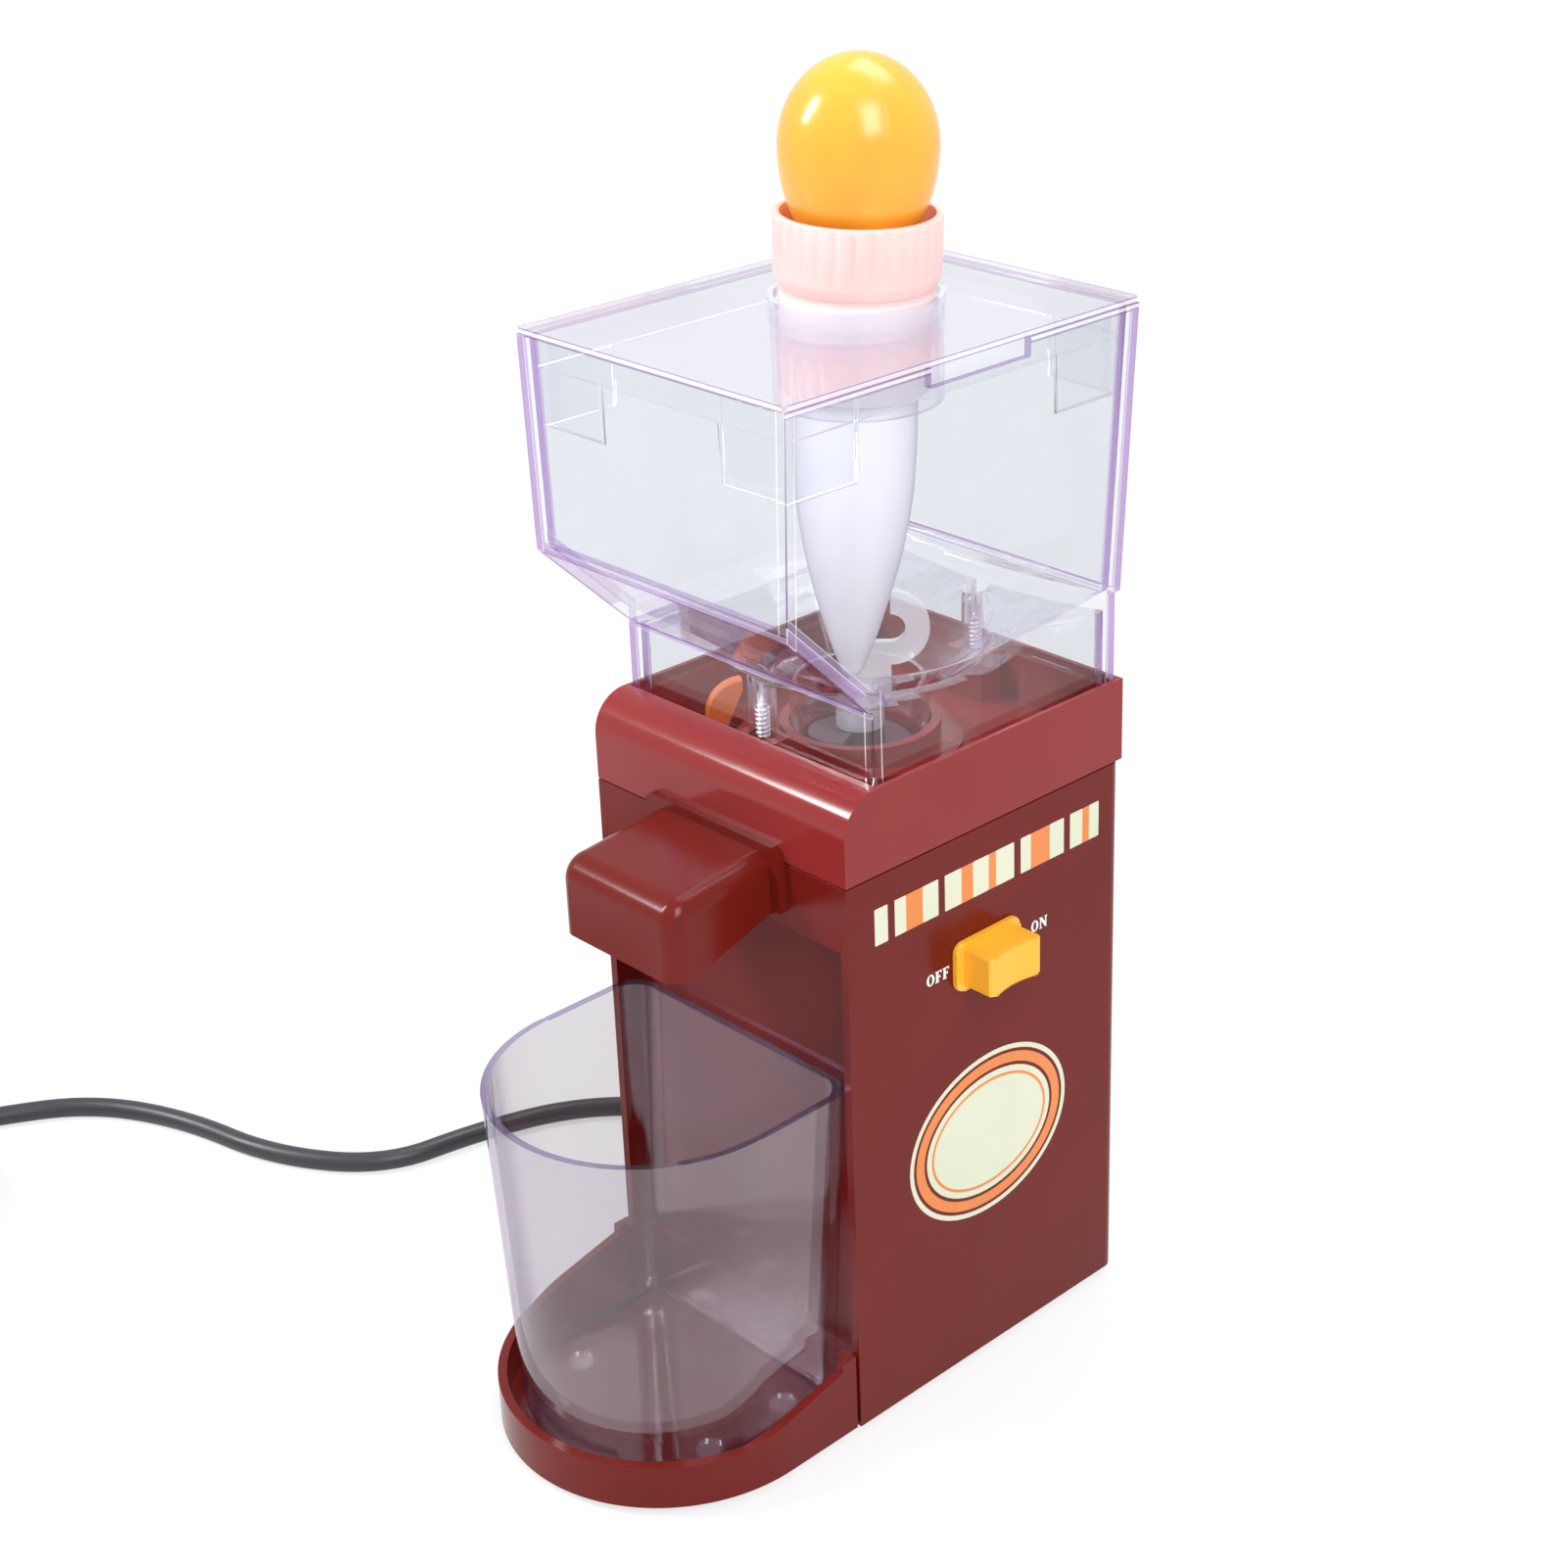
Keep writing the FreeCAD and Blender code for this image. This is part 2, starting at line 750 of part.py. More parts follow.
def top_cover():
    curve = "cover_front_round"
    side = [
        ("0", "cover_base"), ("tower_depth", "cover_base"), ("tower_depth", "cover_top"),
        (curve, "cover_top", curve, f"cover_top - {curve}", 1), ("0", f"cover_top - {curve}")]
    block = across("cover_block", [side], "tower_width")
    seat = "hopper_seat_gap"
    ledge = box("cover_ledge", (f"0 - skirt_half - {seat}", f"skirt_half + {seat}"),
                (f"skirt_front - {seat}", f"skirt_back + {seat}"), ("skirt_foot", "cover_top + 1"))
    recess = box("cover_recess", ("0 - skirt_half + recess_margin", "skirt_half - recess_margin"),
                 ("skirt_front + recess_margin", "skirt_back - recess_margin"),
                 ("recess_floor", "cover_top + 1"))
    under = box("cover_under", ("0 - half_width + cover_wall", "half_width - cover_wall"),
                ("cover_wall", "tower_depth - cover_wall"), ("cover_base - 1", "floor_underside"))
    nose = box("cover_nose", ("0 - half_width + cover_wall", "half_width - cover_wall"),
               ("cover_wall", "skirt_front + recess_margin - cover_wall"),
               ("cover_base - 1", "cover_top - cover_front_round"))
    shell = cut("cover_shell", block, ledge, recess, under, nose)
    throat = ("0", "throat_place")
    seat_ring = rod("seat_ring", "seat_ring_radius", "floor_underside", "recess_floor + seat_ring_height",
                    throat)
    step = rod("seat_step", "seat_step_radius", "floor_underside", "recess_floor + seat_step_height", throat)
    added = [seat_ring, step]
    taken = [rod("seat_bore", "throat_outer + hopper_seat_gap", "throat_foot", "cover_top", throat),
             rod("throat_hole", "throat_radius + fit_gap", "floor_underside - 1", "throat_foot + 1", throat)]
    for name, spot in (("front", "boss_front"), ("back", "boss_back")):
        added.append(box(f"pad_{name}", ("0 - pad_width / 2", "pad_width / 2"),
                         (f"{spot} - pad_depth / 2", f"{spot} + pad_depth / 2"),
                         ("floor_underside", "skirt_foot")))
        taken.append(rod(f"pad_bore_{name}", "screw_head_radius + fit_gap", "floor_underside - 1",
                         "skirt_foot - cover_wall", ("0", spot)))
        taken.append(rod(f"pad_hole_{name}", "screw_radius + screw_clearance", "skirt_foot - cover_wall - 1",
                         "skirt_foot + 1", ("0", spot)))
    slot = lever_slot()
    node("top_cover", cut("cover_cut", join("cover_sum", shell, *added), *taken, slot))


def lever_slot():
    # The curved slot in the recess floor that the lever travels in.
    owner = body("lever_slot")
    near = "lever_neck_radius - lever_slot_gap"
    far = "lever_reach + lever_slot_gap"
    margin = "lever_margin"
    first = f"(lever_angle - lever_travel - {margin})"
    last = f"(lever_angle + {margin})"
    plan = [
        (f"({far}) * cos({first})", f"({far}) * sin({first})", "0", "0", 1),
        (f"({far}) * cos({last})", f"({far}) * sin({last})"),
        (f"({near}) * cos({last})", f"({near}) * sin({last})", "0", "0", -1),
        (f"({near}) * cos({first})", f"({near}) * sin({first})"),
    ]
    pad(owner, sketch(owner, "XY", [plan], "floor_underside - 1"), "floor_thickness + 2")
    return place(owner, "0", "throat_place")


def base_plate():
    gap = "fit_gap"
    plan = rounded((f"0 - (inner_half - {gap})", f"(inner_half - {gap})"),
                   (f"(nook_depth + {gap})", f"(back_inside - {gap})"), "(back_edge_round - shell_wall + 1)")
    sheet_plate = upright("base_sheet", [plan], "foot_height", "base_top")
    stands_for_board = []
    for name, sign in (("left", "0 - "), ("right", "")):
        stands_for_board.append(rod(f"board_stand_{name}", "screw_radius * 2", "base_top - 1", "board_height",
                                    (f"{sign}(board_length / 2 - 4)", "board_place")))
    taken = []
    for number in range(5):
        middle = f"(throat_place + {number} * vent_pitch - 2 * vent_pitch)"
        taken.append(box(f"base_vent_{number}", ("0 - vent_length / 4", "vent_length / 4"),
                         (f"{middle} - vent_width / 2", f"{middle} + vent_width / 2"),
                         ("foot_height - 1", "base_top + 1")))
    for name, sign in (("left", "0 - "), ("right", "")):
        spot = (f"{sign}(half_width - post_inset)", "tower_depth - post_inset")
        taken.append(rod(f"base_hole_{name}", "screw_radius + screw_clearance", "foot_height - 1",
                         "base_top + 1",
                         spot))
    node("base_plate", cut("base_cut", join("base_sum", sheet_plate, *stands_for_board), *taken))


def base_screws():
    made = []
    for name, sign in (("left", "0 - "), ("right", "")):
        spot = (f"{sign}(half_width - post_inset)", "tower_depth - post_inset")
        head = rod(f"base_head_{name}", "screw_head_radius", "foot_height - screw_head_height * 0.8",
                   "foot_height", spot)
        shank = rod(f"base_shank_{name}", "screw_radius", "foot_height - screw_head_height / 2",
                    "base_top + screw_length - 2", spot)
        made.append(join(f"base_screw_{name}", head, shank))
    node("base_screws", group("base_screw_set", *made))


def feet():
    made = []
    spots = []
    for side in ("0 - ", ""):
        spots.append((f"{side}(half_width - foot_inset)", "foot_inset + nook_depth"))
        spots.append((f"{side}(half_width - foot_inset - 4)", "tower_depth - foot_inset - foot_radius"))
        spots.append((f"{side}(tray_half / 2)", "0 - tray_centre - tray_half / 2"))
    for number, spot in enumerate(spots):
        made.append(taper(f"foot_{number}", "foot_radius - 0.8", "foot_radius", "0", "foot_height", spot))
    node("feet", group("foot_set", *made))


# ---- Cup and tray ----
def tray_plan(half, centre_y, join_y, back_half, back_y):
    return [
        (f"0 - ({half})", centre_y, "0", centre_y, 1), (half, centre_y), (half, join_y),
        (back_half, join_y), (back_half, back_y), (f"0 - ({back_half})", back_y),
        (f"0 - ({back_half})", join_y), (f"0 - ({half})", join_y)]


def cup_tray():
    centre = "0 - tray_centre"
    top = "tray_lug + 1"
    outer = upright("tray_block", [tray_plan("tray_half", centre, "0 - tray_gap", "inner_half - fit_gap",
                                             "nook_depth - fit_gap")], "foot_height", top)
    inner = upright("tray_hollow", [tray_plan("tray_half - tray_wall", centre, "0 - tray_gap - tray_wall",
                                              "inner_half - fit_gap - tray_wall",
                                              "nook_depth - fit_gap - tray_wall")],
                    "foot_height + tray_floor", f"{top} + 1")
    lug = "(0 - tray_gap - tray_lug_length)"
    slant = [
        ("tray_front - 5", "tray_front_rim"), ("0 - tray_ramp_start", "tray_front_rim"),
        (lug, "tray_side_rim"), (lug, "tray_lug"), ("0 - tray_gap", "tray_lug"),
        ("0 - tray_gap", "tray_back_rim"),
        ("nook_depth + 5", "tray_back_rim"), ("nook_depth + 5", "tray_lug + 9"),
        ("tray_front - 5", "tray_lug + 9")]
    above = across("tray_above", [slant], "3 * tray_half")
    node("cup_tray", cut("tray_cut", cut("tray_bowl", outer, inner), above))


def cup():
    rise = "(cup_rim - foot_height - tray_floor - cup_boss_height)"
    low = "foot_height + tray_floor + cup_boss_height"
    widen = f"atan((cup_rim_half - cup_foot_half) / {rise}) / 1deg"
    centre = "0 - cup_centre"

    def plan(half, back):
        return [(f"0 - ({half})", centre, "0", centre, 1), (half, centre), (half, f"({back}) - 3",
                f"({half}) - 3", f"({back}) - 3", 1), (f"({half}) - 3", back),
                (f"0 - ({half}) + 3", back, f"0 - ({half}) + 3", f"({back}) - 3", 1),
                (f"0 - ({half})", f"({back}) - 3")]

    outer = upright("cup_outer", [plan("cup_foot_half", "cup_foot_back")], low, "cup_rim", widen)
    inner = upright("cup_inner", [plan("cup_foot_half - cup_wall + 0.1", "cup_foot_back - cup_wall + 0.1")],
                    f"{low} + cup_floor", "cup_rim + 1", widen)
    bosses = []
    for number, (side, spot) in enumerate(((side, spot) for side in ("0 - ", "") for spot in (9, 0 - 17))):
        bosses.append(rod(f"cup_boss_{number}", "cup_boss_radius", "foot_height + tray_floor", f"{low} + 1",
                          (f"{side}(cup_boss_place - 3)", f"0 - cup_centre - {spot}" if spot > 0
                           else f"0 - cup_centre + {-spot}")))
    node("cup", cut("cup_cut", join("cup_sum", outer, *bosses), inner))


# ---- Spout ----
def spout_side(shrink):
    # Side outline of the spout: flat top that falls a little, a round front edge, a bottom edge that rises
    # to the tower in a shallow curve. shrink moves the top and front inwards by a wall.
    reach = f"(spout_reach - ({shrink}))"
    curve = f"(spout_front_round - ({shrink}))"
    top = f"(spout_top - ({shrink}))"
    front_top = f"({top} - spout_top_drop)"
    low = "spout_bottom" if shrink == "0" else "(spout_bottom - 5)"
    root = "spout_root" if shrink == "0" else "(spout_bottom - 5)"
    loop = [
        ("0", root), ("0", top), (f"0 - {reach} + {curve}", front_top,
                                  f"0 - {reach} + {curve}", f"{front_top} - {curve}", 1),
        (f"0 - {reach}", f"{front_top} - {curve}"), (f"0 - {reach}", low)]
    if shrink == "0":
        loop.append((f"0 - {reach} + spout_front_round", "spout_bottom - 0.3"))
        loop.append(("0 - spout_reach * 0.56", f"{low} + 2.6"))
    return loop


def spout():
    owner = body("spout_block")
    block = pad(owner, sketch(owner, "YZ", [spout_side("0")]), "spout_width", both=True)

    def long_edges(line):
        spots = [vertex.Point for vertex in line.Vertexes]
        if len(spots) != 2 or any(abs(abs(spot.x) - value("spout_width / 2")) > 0.01 for spot in spots):
            return False
        same_side = spots[0].x * spots[1].x > 0
        over_root = min(spot.z for spot in spots) > value("spout_root")
        at_front = all(abs(spot.y + value("spout_reach")) < 0.01 for spot in spots)
        at_back = all(abs(spot.y) < 0.01 for spot in spots)
        return same_side and not at_back and (over_root or at_front)

    ease(owner, block, "spout_edge_round", long_edges)
    hollow = across("spout_hollow", [spout_side("spout_wall")], "spout_width - 2 * spout_wall")
    hidden = box("spout_behind", ("0 - spout_width", "spout_width"), ("0 - 0", "10"), ("100", "200"))
    hollow = cut("spout_room", hollow, hidden)
    collar = lengthways("spout_collar", [rounded(("(0 - flange_width / 2)", "(flange_width / 2)"),
                                                 ("flange_low", "flange_high"), "flange_corner")],
                        "0 - flange_thickness", "0")
    window = box("spout_window", ("0 - chute_width / 2", "chute_width / 2"),
                 ("0 - flange_thickness - 1", "1"),
                 ("chamber_floor_top - chute_wall", "chamber_floor_top - chute_wall + chute_height"))
    bores = []
    for name, sign in (("left", "0 - "), ("right", "")):
        bores.append(rod(f"spout_bore_{name}", "screw_radius + screw_clearance", "0 - 2", "1",
                         (f"{sign}(chute_width / 2 + 2.5 * screw_radius)", "chamber_floor_top + 4"), "y"))
    node("spout", cut("spout_cut", join("spout_sum", owner, collar), hollow, window, *bores))


def spout_screws():
    made = []
    for name, sign in (("left", "0 - "), ("right", "")):
        spot = (f"{sign}(chute_width / 2 + 2.5 * screw_radius)", "chamber_floor_top + 4")
        shank = rod(f"spout_shank_{name}", "screw_radius", "0 - 1.8", "shell_wall + 1", spot, "y")
        head = rod(f"spout_head_{name}", "screw_head_radius", "shell_wall", "shell_wall + screw_head_height",
                   spot, "y")
        made.append(join(f"spout_screw_{name}", shank, head))
    node("spout_screws", group("spout_screw_set", *made))


# ---- Slide switch ----
def switch_slider():
    out = "half_width + slider_gap"
    front = f"{out} + slider_flange_thickness"
    owner = body("slider_flange")
    plate = rounded(("(switch_place - slider_flange_length / 2)",
                     "(switch_place + slider_flange_length / 2)"),
                    ("(switch_height - slider_flange_height / 2)",
                     "(switch_height + slider_flange_height / 2)"),
                    "slider_flange_corner")
    pad(owner, sketch(owner, "YZ", [plate], out), "slider_flange_thickness")
    # The grip, seen from above: its front is hollowed in a shallow arc between two rounded ends.
    grip = body("slider_grip")
    low = "(switch_place - slider_length / 2)"
    high = "(switch_place + slider_length / 2)"
    depth = "slider_hollow"
    half = "(slider_length / 2 - 3)"
    arc = f"(({half}^2 + {depth}^2) / (2 * {depth}))"
    corner = "1.5"
    plan = [
        (front, low), (f"slider_face - {corner}", low, f"slider_face - {corner}", f"{low} + {corner}", 1),
        ("slider_face", f"{low} + {corner}"), ("slider_face", f"{low} + 3",
                                               f"slider_face - {depth} + {arc}", "switch_place", -1),
        ("slider_face", f"{high} - 3"), ("slider_face", f"{high} - {corner}", f"slider_face - {corner}",
                                         f"{high} - {corner}", 1),
        (f"slider_face - {corner}", high), (front, high)]
    pad(grip, sketch(grip, "XY", [plan], "switch_height - slider_height / 2"), "slider_height")
    stem = box("slider_stem", (f"{out} - stem_reach", out),
               ("switch_place - stem_length / 2", "switch_place + stem_length / 2"),
               ("switch_height - stem_height / 2", "switch_height + stem_height / 2"))
    node("switch_slider", join("slider_sum", owner, grip, stem))


def switch_body():
    middle = "(switch_place + slider_travel / 2)"
    room = "stem_length / 2 + slider_travel / 2 + 2 * fit_gap"
    front = "inner_half - fit_gap"
    case = box("switch_case", (f"{front} - switch_body_depth", front),
               (f"{middle} - switch_body_length / 2", f"{middle} + switch_body_length / 2"),
               ("switch_height - switch_body_height / 2", "switch_height + switch_body_height / 2"))
    hollow = box("switch_hollow", (f"half_width - stem_reach - fit_gap", f"{front} + 1"),
                 (f"{middle} - ({room})", f"{middle} + {room}"),
                 ("switch_height - stem_height / 2 - fit_gap", "switch_height + stem_height / 2 + fit_gap"))
    pins = []
    for number in range(3):
        spot = f"{middle} + {number} * 6 - 6"
        pins.append(box(f"switch_pin_{number}", (f"{front} - switch_body_depth - 5",
                                                 f"{front} - switch_body_depth + 0.5"),
                        (f"{spot} - 1.2", f"{spot} + 1.2"), ("switch_height - 0.4", "switch_height + 0.4")))
    node("switch_body", join("switch_sum", cut("switch_cut", case, hollow), *pins))


# ---- Hopper ----
def hopper_form(name, inset, foot, room="0"):
    # The solid inside the hopper's walls, drawn in by inset; foot is where it starts.
    side = [
        (f"skirt_front + ({inset})", foot), (f"skirt_back - ({inset})", foot),
        (f"skirt_back - ({inset})", "step_height"), (f"back_foot - ({inset})", f"step_height + {room}"),
        (f"hopper_back - ({inset})", f"hopper_top + {room}"),
        (f"hopper_front + ({inset})", f"hopper_top + {room}"),
        (f"hopper_front + ({inset})", f"slope_top + ({inset}) * 0.42"),
        (f"skirt_front + ({inset})", f"skirt_top + ({inset}) * 0.42")]
    block = across(f"{name}_side", [side], "hopper_width + 20")
    half = f"(skirt_half - ({inset}))"
    wide = f"(lid_half - ({inset}))"
    face = [
        (f"0 - {half}", foot), (half, foot), (half, "step_height"), (wide, f"hopper_top + {room}"),
        (f"0 - {wide}", f"hopper_top + {room}"), (f"0 - {half}", "step_height")]
    front = lengthways(f"{name}_front", [face], "hopper_front - 10", "hopper_back + 10")
    return common(f"{name}_form", block, front)


def hopper():
    outer = hopper_form("hopper_outer", "0", "skirt_foot")
    inner = hopper_form("hopper_inner", "hopper_wall", "skirt_foot - 1", "1")
    throat = ("0", "throat_place")
    reach = "(hopper_width)"
    # Everything above the funnel, and everything above the funnel's underside.
    rise = f"funnel_rim + ({reach} - funnel_edge_radius) * funnel_outer_slope"
    above = turned("funnel_above", [[
        ("0", "funnel_base"), ("throat_radius", "funnel_base"), ("funnel_knee_radius", "funnel_bend"),
        ("funnel_edge_radius", "funnel_rim"), (reach, rise), (reach, "hopper_top + 2"),
        ("0", "hopper_top + 2")]],
        "0", "throat_place")
    below = turned("funnel_below", [[
        ("0", "funnel_base - funnel_wall / 2"), ("throat_outer", "funnel_base - funnel_wall / 2"),
        ("funnel_knee_radius", "funnel_bend - funnel_wall"), (reach, f"{rise} - funnel_wall"),
        (reach, "hopper_top + 2"), ("0", "hopper_top + 2")]], "0", "throat_place")
    upper_room = common("hopper_room", inner, above)
    skirt_inner = hopper_form("skirt_inner", "hopper_wall", "skirt_foot - 1", "1")
    lower_room = cut("skirt_room", skirt_inner, below)
    shell = cut("hopper_shell", outer, upper_room, lower_room)
    rim = box("hopper_rim", ("0 - lid_half", "lid_half"), ("hopper_front", "hopper_back"),
              ("hopper_top - rim_thickness", "hopper_top"))
    rim_bore = box("hopper_rim_bore", ("0 - lid_half + hopper_wall", "lid_half - hopper_wall"),
                   ("hopper_front + hopper_wall", "hopper_back - hopper_wall"),
                   ("hopper_top - rim_thickness - 1", "hopper_top + 1"))
    neck = rod("throat_neck", "throat_outer", "throat_foot + fit_gap", "funnel_base + 1", throat)
    added = [neck, cut("hopper_rim_ring", rim, rim_bore)]
    taken = [rod("throat_bore", "throat_radius", "throat_foot - 1", "funnel_base + 3", throat)]
    for name, spot in (("front", "boss_front"), ("back", "boss_back")):
        added.append(rod(f"boss_{name}", "boss_radius", "skirt_foot", "funnel_rim - funnel_wall / 2",
                         ("0", spot)))
        taken.append(rod(f"boss_bore_{name}", "screw_radius + screw_clearance", "skirt_foot - 1",
                         "skirt_foot + screw_length", ("0", spot)))
    taken.append(box("finger_notch", ("lid_half - hopper_wall - 2", "lid_half + 1"),
                     ("notch_place - notch_length / 2", "notch_place + notch_length / 2"),
                     ("hopper_top - notch_depth", "hopper_top + 1")))
    node("hopper", cut("hopper_cut", join("hopper_sum", shell, *added), *taken))


def hopper_screws():
    made = []
    for name, spot in (("front", "boss_front"), ("back", "boss_back")):
        head = rod(f"hopper_head_{name}", "screw_head_radius", "skirt_foot - cover_wall - screw_head_height",
                   "skirt_foot - cover_wall", ("0", spot))
        shank = rod(f"hopper_shank_{name}", "screw_radius", "skirt_foot - cover_wall - 1",
                    "skirt_foot + screw_length - 1", ("0", spot))
        made.append(join(f"hopper_screw_{name}", head, shank))
    node("hopper_screws", group("hopper_screw_set", *made))


def hopper_lid():
    plate = upright("lid_plate", [rounded(("(0 - lid_half)", "lid_half"), ("hopper_front", "hopper_back"),
                                          "1")],
                    "hopper_top", "lid_top")
    gap = "(hopper_wall + lid_skirt_gap)"
    left, right = f"0 - lid_half + {gap}", f"lid_half - {gap}"
    front, back = f"hopper_front + {gap}", f"hopper_back - {gap}"
    low = "hopper_top - lid_skirt_depth"
    tab_low = "hopper_top - lid_tab_depth"
    skirt = box("lid_skirt", (left, right), (front, back), (low, "hopper_top + 0.5"))
    hollow = box("lid_skirt_hollow", (f"{left} + lid_skirt_wall", f"{right} - lid_skirt_wall"),
                 (f"{front} + lid_skirt_wall", f"{back} - lid_skirt_wall"), (f"{tab_low} - 1", "hopper_top"))
    # The deeper corners narrow with the hopper's draft, so they are drawn in a little further.
    draft = "1"
    tabs = []
    tab_left, tab_right = f"{left} + {draft}", f"{right} - {draft}"
    tab_front, tab_back = f"{front} + {draft}", f"{back} - {draft}"
    spans = {
        "front_right": ((f"{tab_right} - lid_tab_width", tab_right),
                        (tab_front, f"{tab_front} + lid_tab_width")),
        "front_left": ((tab_left, f"{tab_left} + lid_tab_width"),
                       (tab_front, f"{tab_front} + lid_tab_width")),
        "back_right": ((f"{tab_right} - lid_tab_width", tab_right),
                       (f"{tab_back} - lid_tab_width", tab_back)),
        "back_left": ((tab_left, f"{tab_left} + lid_tab_width"), (f"{tab_back} - lid_tab_width", tab_back)),
    }
    for name, (x, y) in spans.items():
        tabs.append(box(f"lid_tab_{name}", x, y, (tab_low, "hopper_top + 0.5")))
    inside = box("lid_tab_hollow", (f"{tab_left} + lid_skirt_wall", f"{tab_right} - lid_skirt_wall"),
                 (f"{tab_front} + lid_skirt_wall", f"{tab_back} - lid_skirt_wall"),
                 (f"{tab_low} - 1", "hopper_top"))
    walls = join("lid_walls", cut("lid_skirt_ring", skirt, hollow),
                 cut("lid_tab_ring", join("lid_tabs", *tabs), inside))
    socket = ("0", "socket_place")
    ring = rod("socket_ring", "socket_radius", "lid_top - 0.5", "lid_top + socket_height", socket)
    sleeve = rod("socket_sleeve", "sleeve_radius", "lid_top - sleeve_depth", "hopper_top + 0.5", socket)
    bore = rod("socket_bore", "sleeve_bore", "lid_top - sleeve_depth - 1", "lid_top + socket_height + 1",
               socket)
    mouth = rod("socket_mouth", "socket_bore", "lid_top", "lid_top + socket_height + 1", socket)
    node("hopper_lid", cut("lid_cut", join("lid_sum", plate, walls, ring, sleeve), bore, mouth))


# ---- Dropper: drawn upright with z = 0 at the pivot, then leaned in its socket ----
def lean(item, extra="0", along="0"):
    # The lean is towards the back right, about a line at right angles to that.
    item.Placement = FreeCAD.Placement(
        FreeCAD.Vector(), FreeCAD.Rotation(FreeCAD.Vector(-1, 1, 0), 1))
    bind(item, "Placement.Rotation.Angle", f"dropper_lean + {extra}")
    shift = f"sin(dropper_lean) * ({along}) * sqrt(0.5)"
    bind(item, "Placement.Base.z", f"lid_top + pivot_rise + cos(dropper_lean) * ({along})")
    stands[item.Name] = (shift, f"socket_place + {shift}")
    return item


def dropper_collar():
    shape = [
        ("collar_top_radius", "collar_rise"), ("collar_top_radius - collar_wall", "collar_rise"),
        ("collar_top_radius - collar_wall", "collar_floor"), ("bulb_neck_radius + fit_gap", "collar_floor"),
        ("bulb_neck_radius + fit_gap", "collar_floor - collar_lip"),
        ("body_radius + fit_gap", "collar_floor - collar_lip"), ("body_radius + fit_gap", "0 - collar_drop"),
        ("collar_end_radius", "0 - collar_drop"), ("shoulder_radius", "collar_shoulder - shoulder_drop"),
        ("collar_radius", "collar_shoulder")]
    owner = turned("collar_ring", [shape])
    groove = pocket(owner, sketch(owner, "XY", [("circle", "collar_top_radius + flute_radius * 0.75", "0",
                                                 "flute_radius")], "collar_shoulder"),
                    "collar_rise - collar_shoulder + 1", back=True)
    pattern(owner, groove, "flute_count")
    node("dropper_collar", lean(owner))


def dropper_body():
    wall = "body_wall"
    shape = [
        ("body_radius", "body_top"), ("body_radius", "0 - body_straight_end"),
        ("body_waist_radius", "0 - body_waist"), ("body_neck_radius", "0 - body_neck"),
        ("body_cone_radius", "0 - body_cone"), ("body_nose_radius", "0 - body_nose"),
        ("body_tip_radius", "0 - body_tip"), ("nozzle_radius", "0 - body_tip"),
        ("nozzle_radius", "0 - body_nose"),
        (f"body_cone_radius - {wall}", "0 - body_cone"), (f"body_neck_radius - {wall}", "0 - body_neck"),
        (f"body_waist_radius - {wall}", "0 - body_waist"), (f"body_radius - {wall}", "0 - body_straight_end"),
        (f"body_radius - {wall}", "body_top")]
    node("dropper_body", lean(turned("dropper_tube", [shape])))


def dropper_bulb():
    # z = 0 is the waist above the collar; the lower half is an ellipsoid cut off at the neck.
    def half(name, radius, rise, upper):
        item = doc.addObject("Part::Ellipsoid", name)
        bind(item, "Radius1", rise)
        bind(item, "Radius2", radius)
        bind(item, "Radius3", radius)
        item.Angle1 = 0 if upper else -90
        item.Angle2 = 90 if upper else 0
        return place(item, "0", "0", "bulb_lower")

    drop = "(bulb_lower / sqrt(1 - (bulb_neck_radius / bulb_radius)^2))"
    neck = rod("bulb_neck", "bulb_neck_radius", "0 - bulb_neck_depth", "0.01", ("0", "0"))
    under = rod("bulb_under", "bulb_radius + 1", "0 - 2 * bulb_lower", "0", ("0", "0"))
    low_half = cut("bulb_low", half("bulb_low_round", "bulb_radius", drop, False), under)
    skin = join("bulb_skin", half("bulb_high", "bulb_radius", "bulb_upper", True), low_half, neck)
    inside = join(
        "bulb_air", half("air_high", "bulb_radius - bulb_wall", "bulb_upper - bulb_wall", True),
        half("air_low", "bulb_radius - bulb_wall", drop, False),
        rod("air_neck", "bulb_neck_radius - bulb_wall", "0 - bulb_neck_depth - 1", "bulb_lower", ("0", "0")))
    below = rod("air_under", "bulb_radius + 1", "0 - 3 * bulb_lower", "0 - bulb_neck_depth - 1", ("0", "0"))
    shell = cut("bulb_cut", skin, cut("air_cut", inside, below))
    node("dropper_bulb", lean(shell, "0", "collar_rise - 4.7"))


# ---- Grinding parts ----
def grinding_chamber():
    bore = "bush_radius + bush_gap"
    inner = "chamber_radius - chamber_wall"
    pot = turned("chamber_pot", [[
        (bore, "chamber_base"), ("chamber_radius", "chamber_base"), ("chamber_radius", "chamber_top"),
        (inner, "chamber_top"), (inner, "chamber_floor_top"), (bore, "chamber_floor_top")]], "0",
        "throat_place")
    low = "chamber_floor_top - chute_wall"
    chute = box("chute_outer", ("0 - chute_width / 2", "chute_width / 2"),
                ("0 - flange_thickness", "throat_place - chamber_radius + 5"), (low, f"{low} + chute_height"))
    pot_room = rod("chamber_room", inner, "chamber_floor_top", "chamber_top + 1", ("0", "throat_place"))
    room = box("chute_room", ("0 - chute_width / 2 + chute_wall", "chute_width / 2 - chute_wall"),
               ("0 - flange_thickness - 1", "throat_place - chamber_radius + 7"),
               ("chamber_floor_top", f"{low} + chute_height - chute_wall"))
    node("grinding_chamber", cut("chamber_cut", join("chamber_sum", pot,
                                                     cut("chute_tube", chute, pot_room)), room))


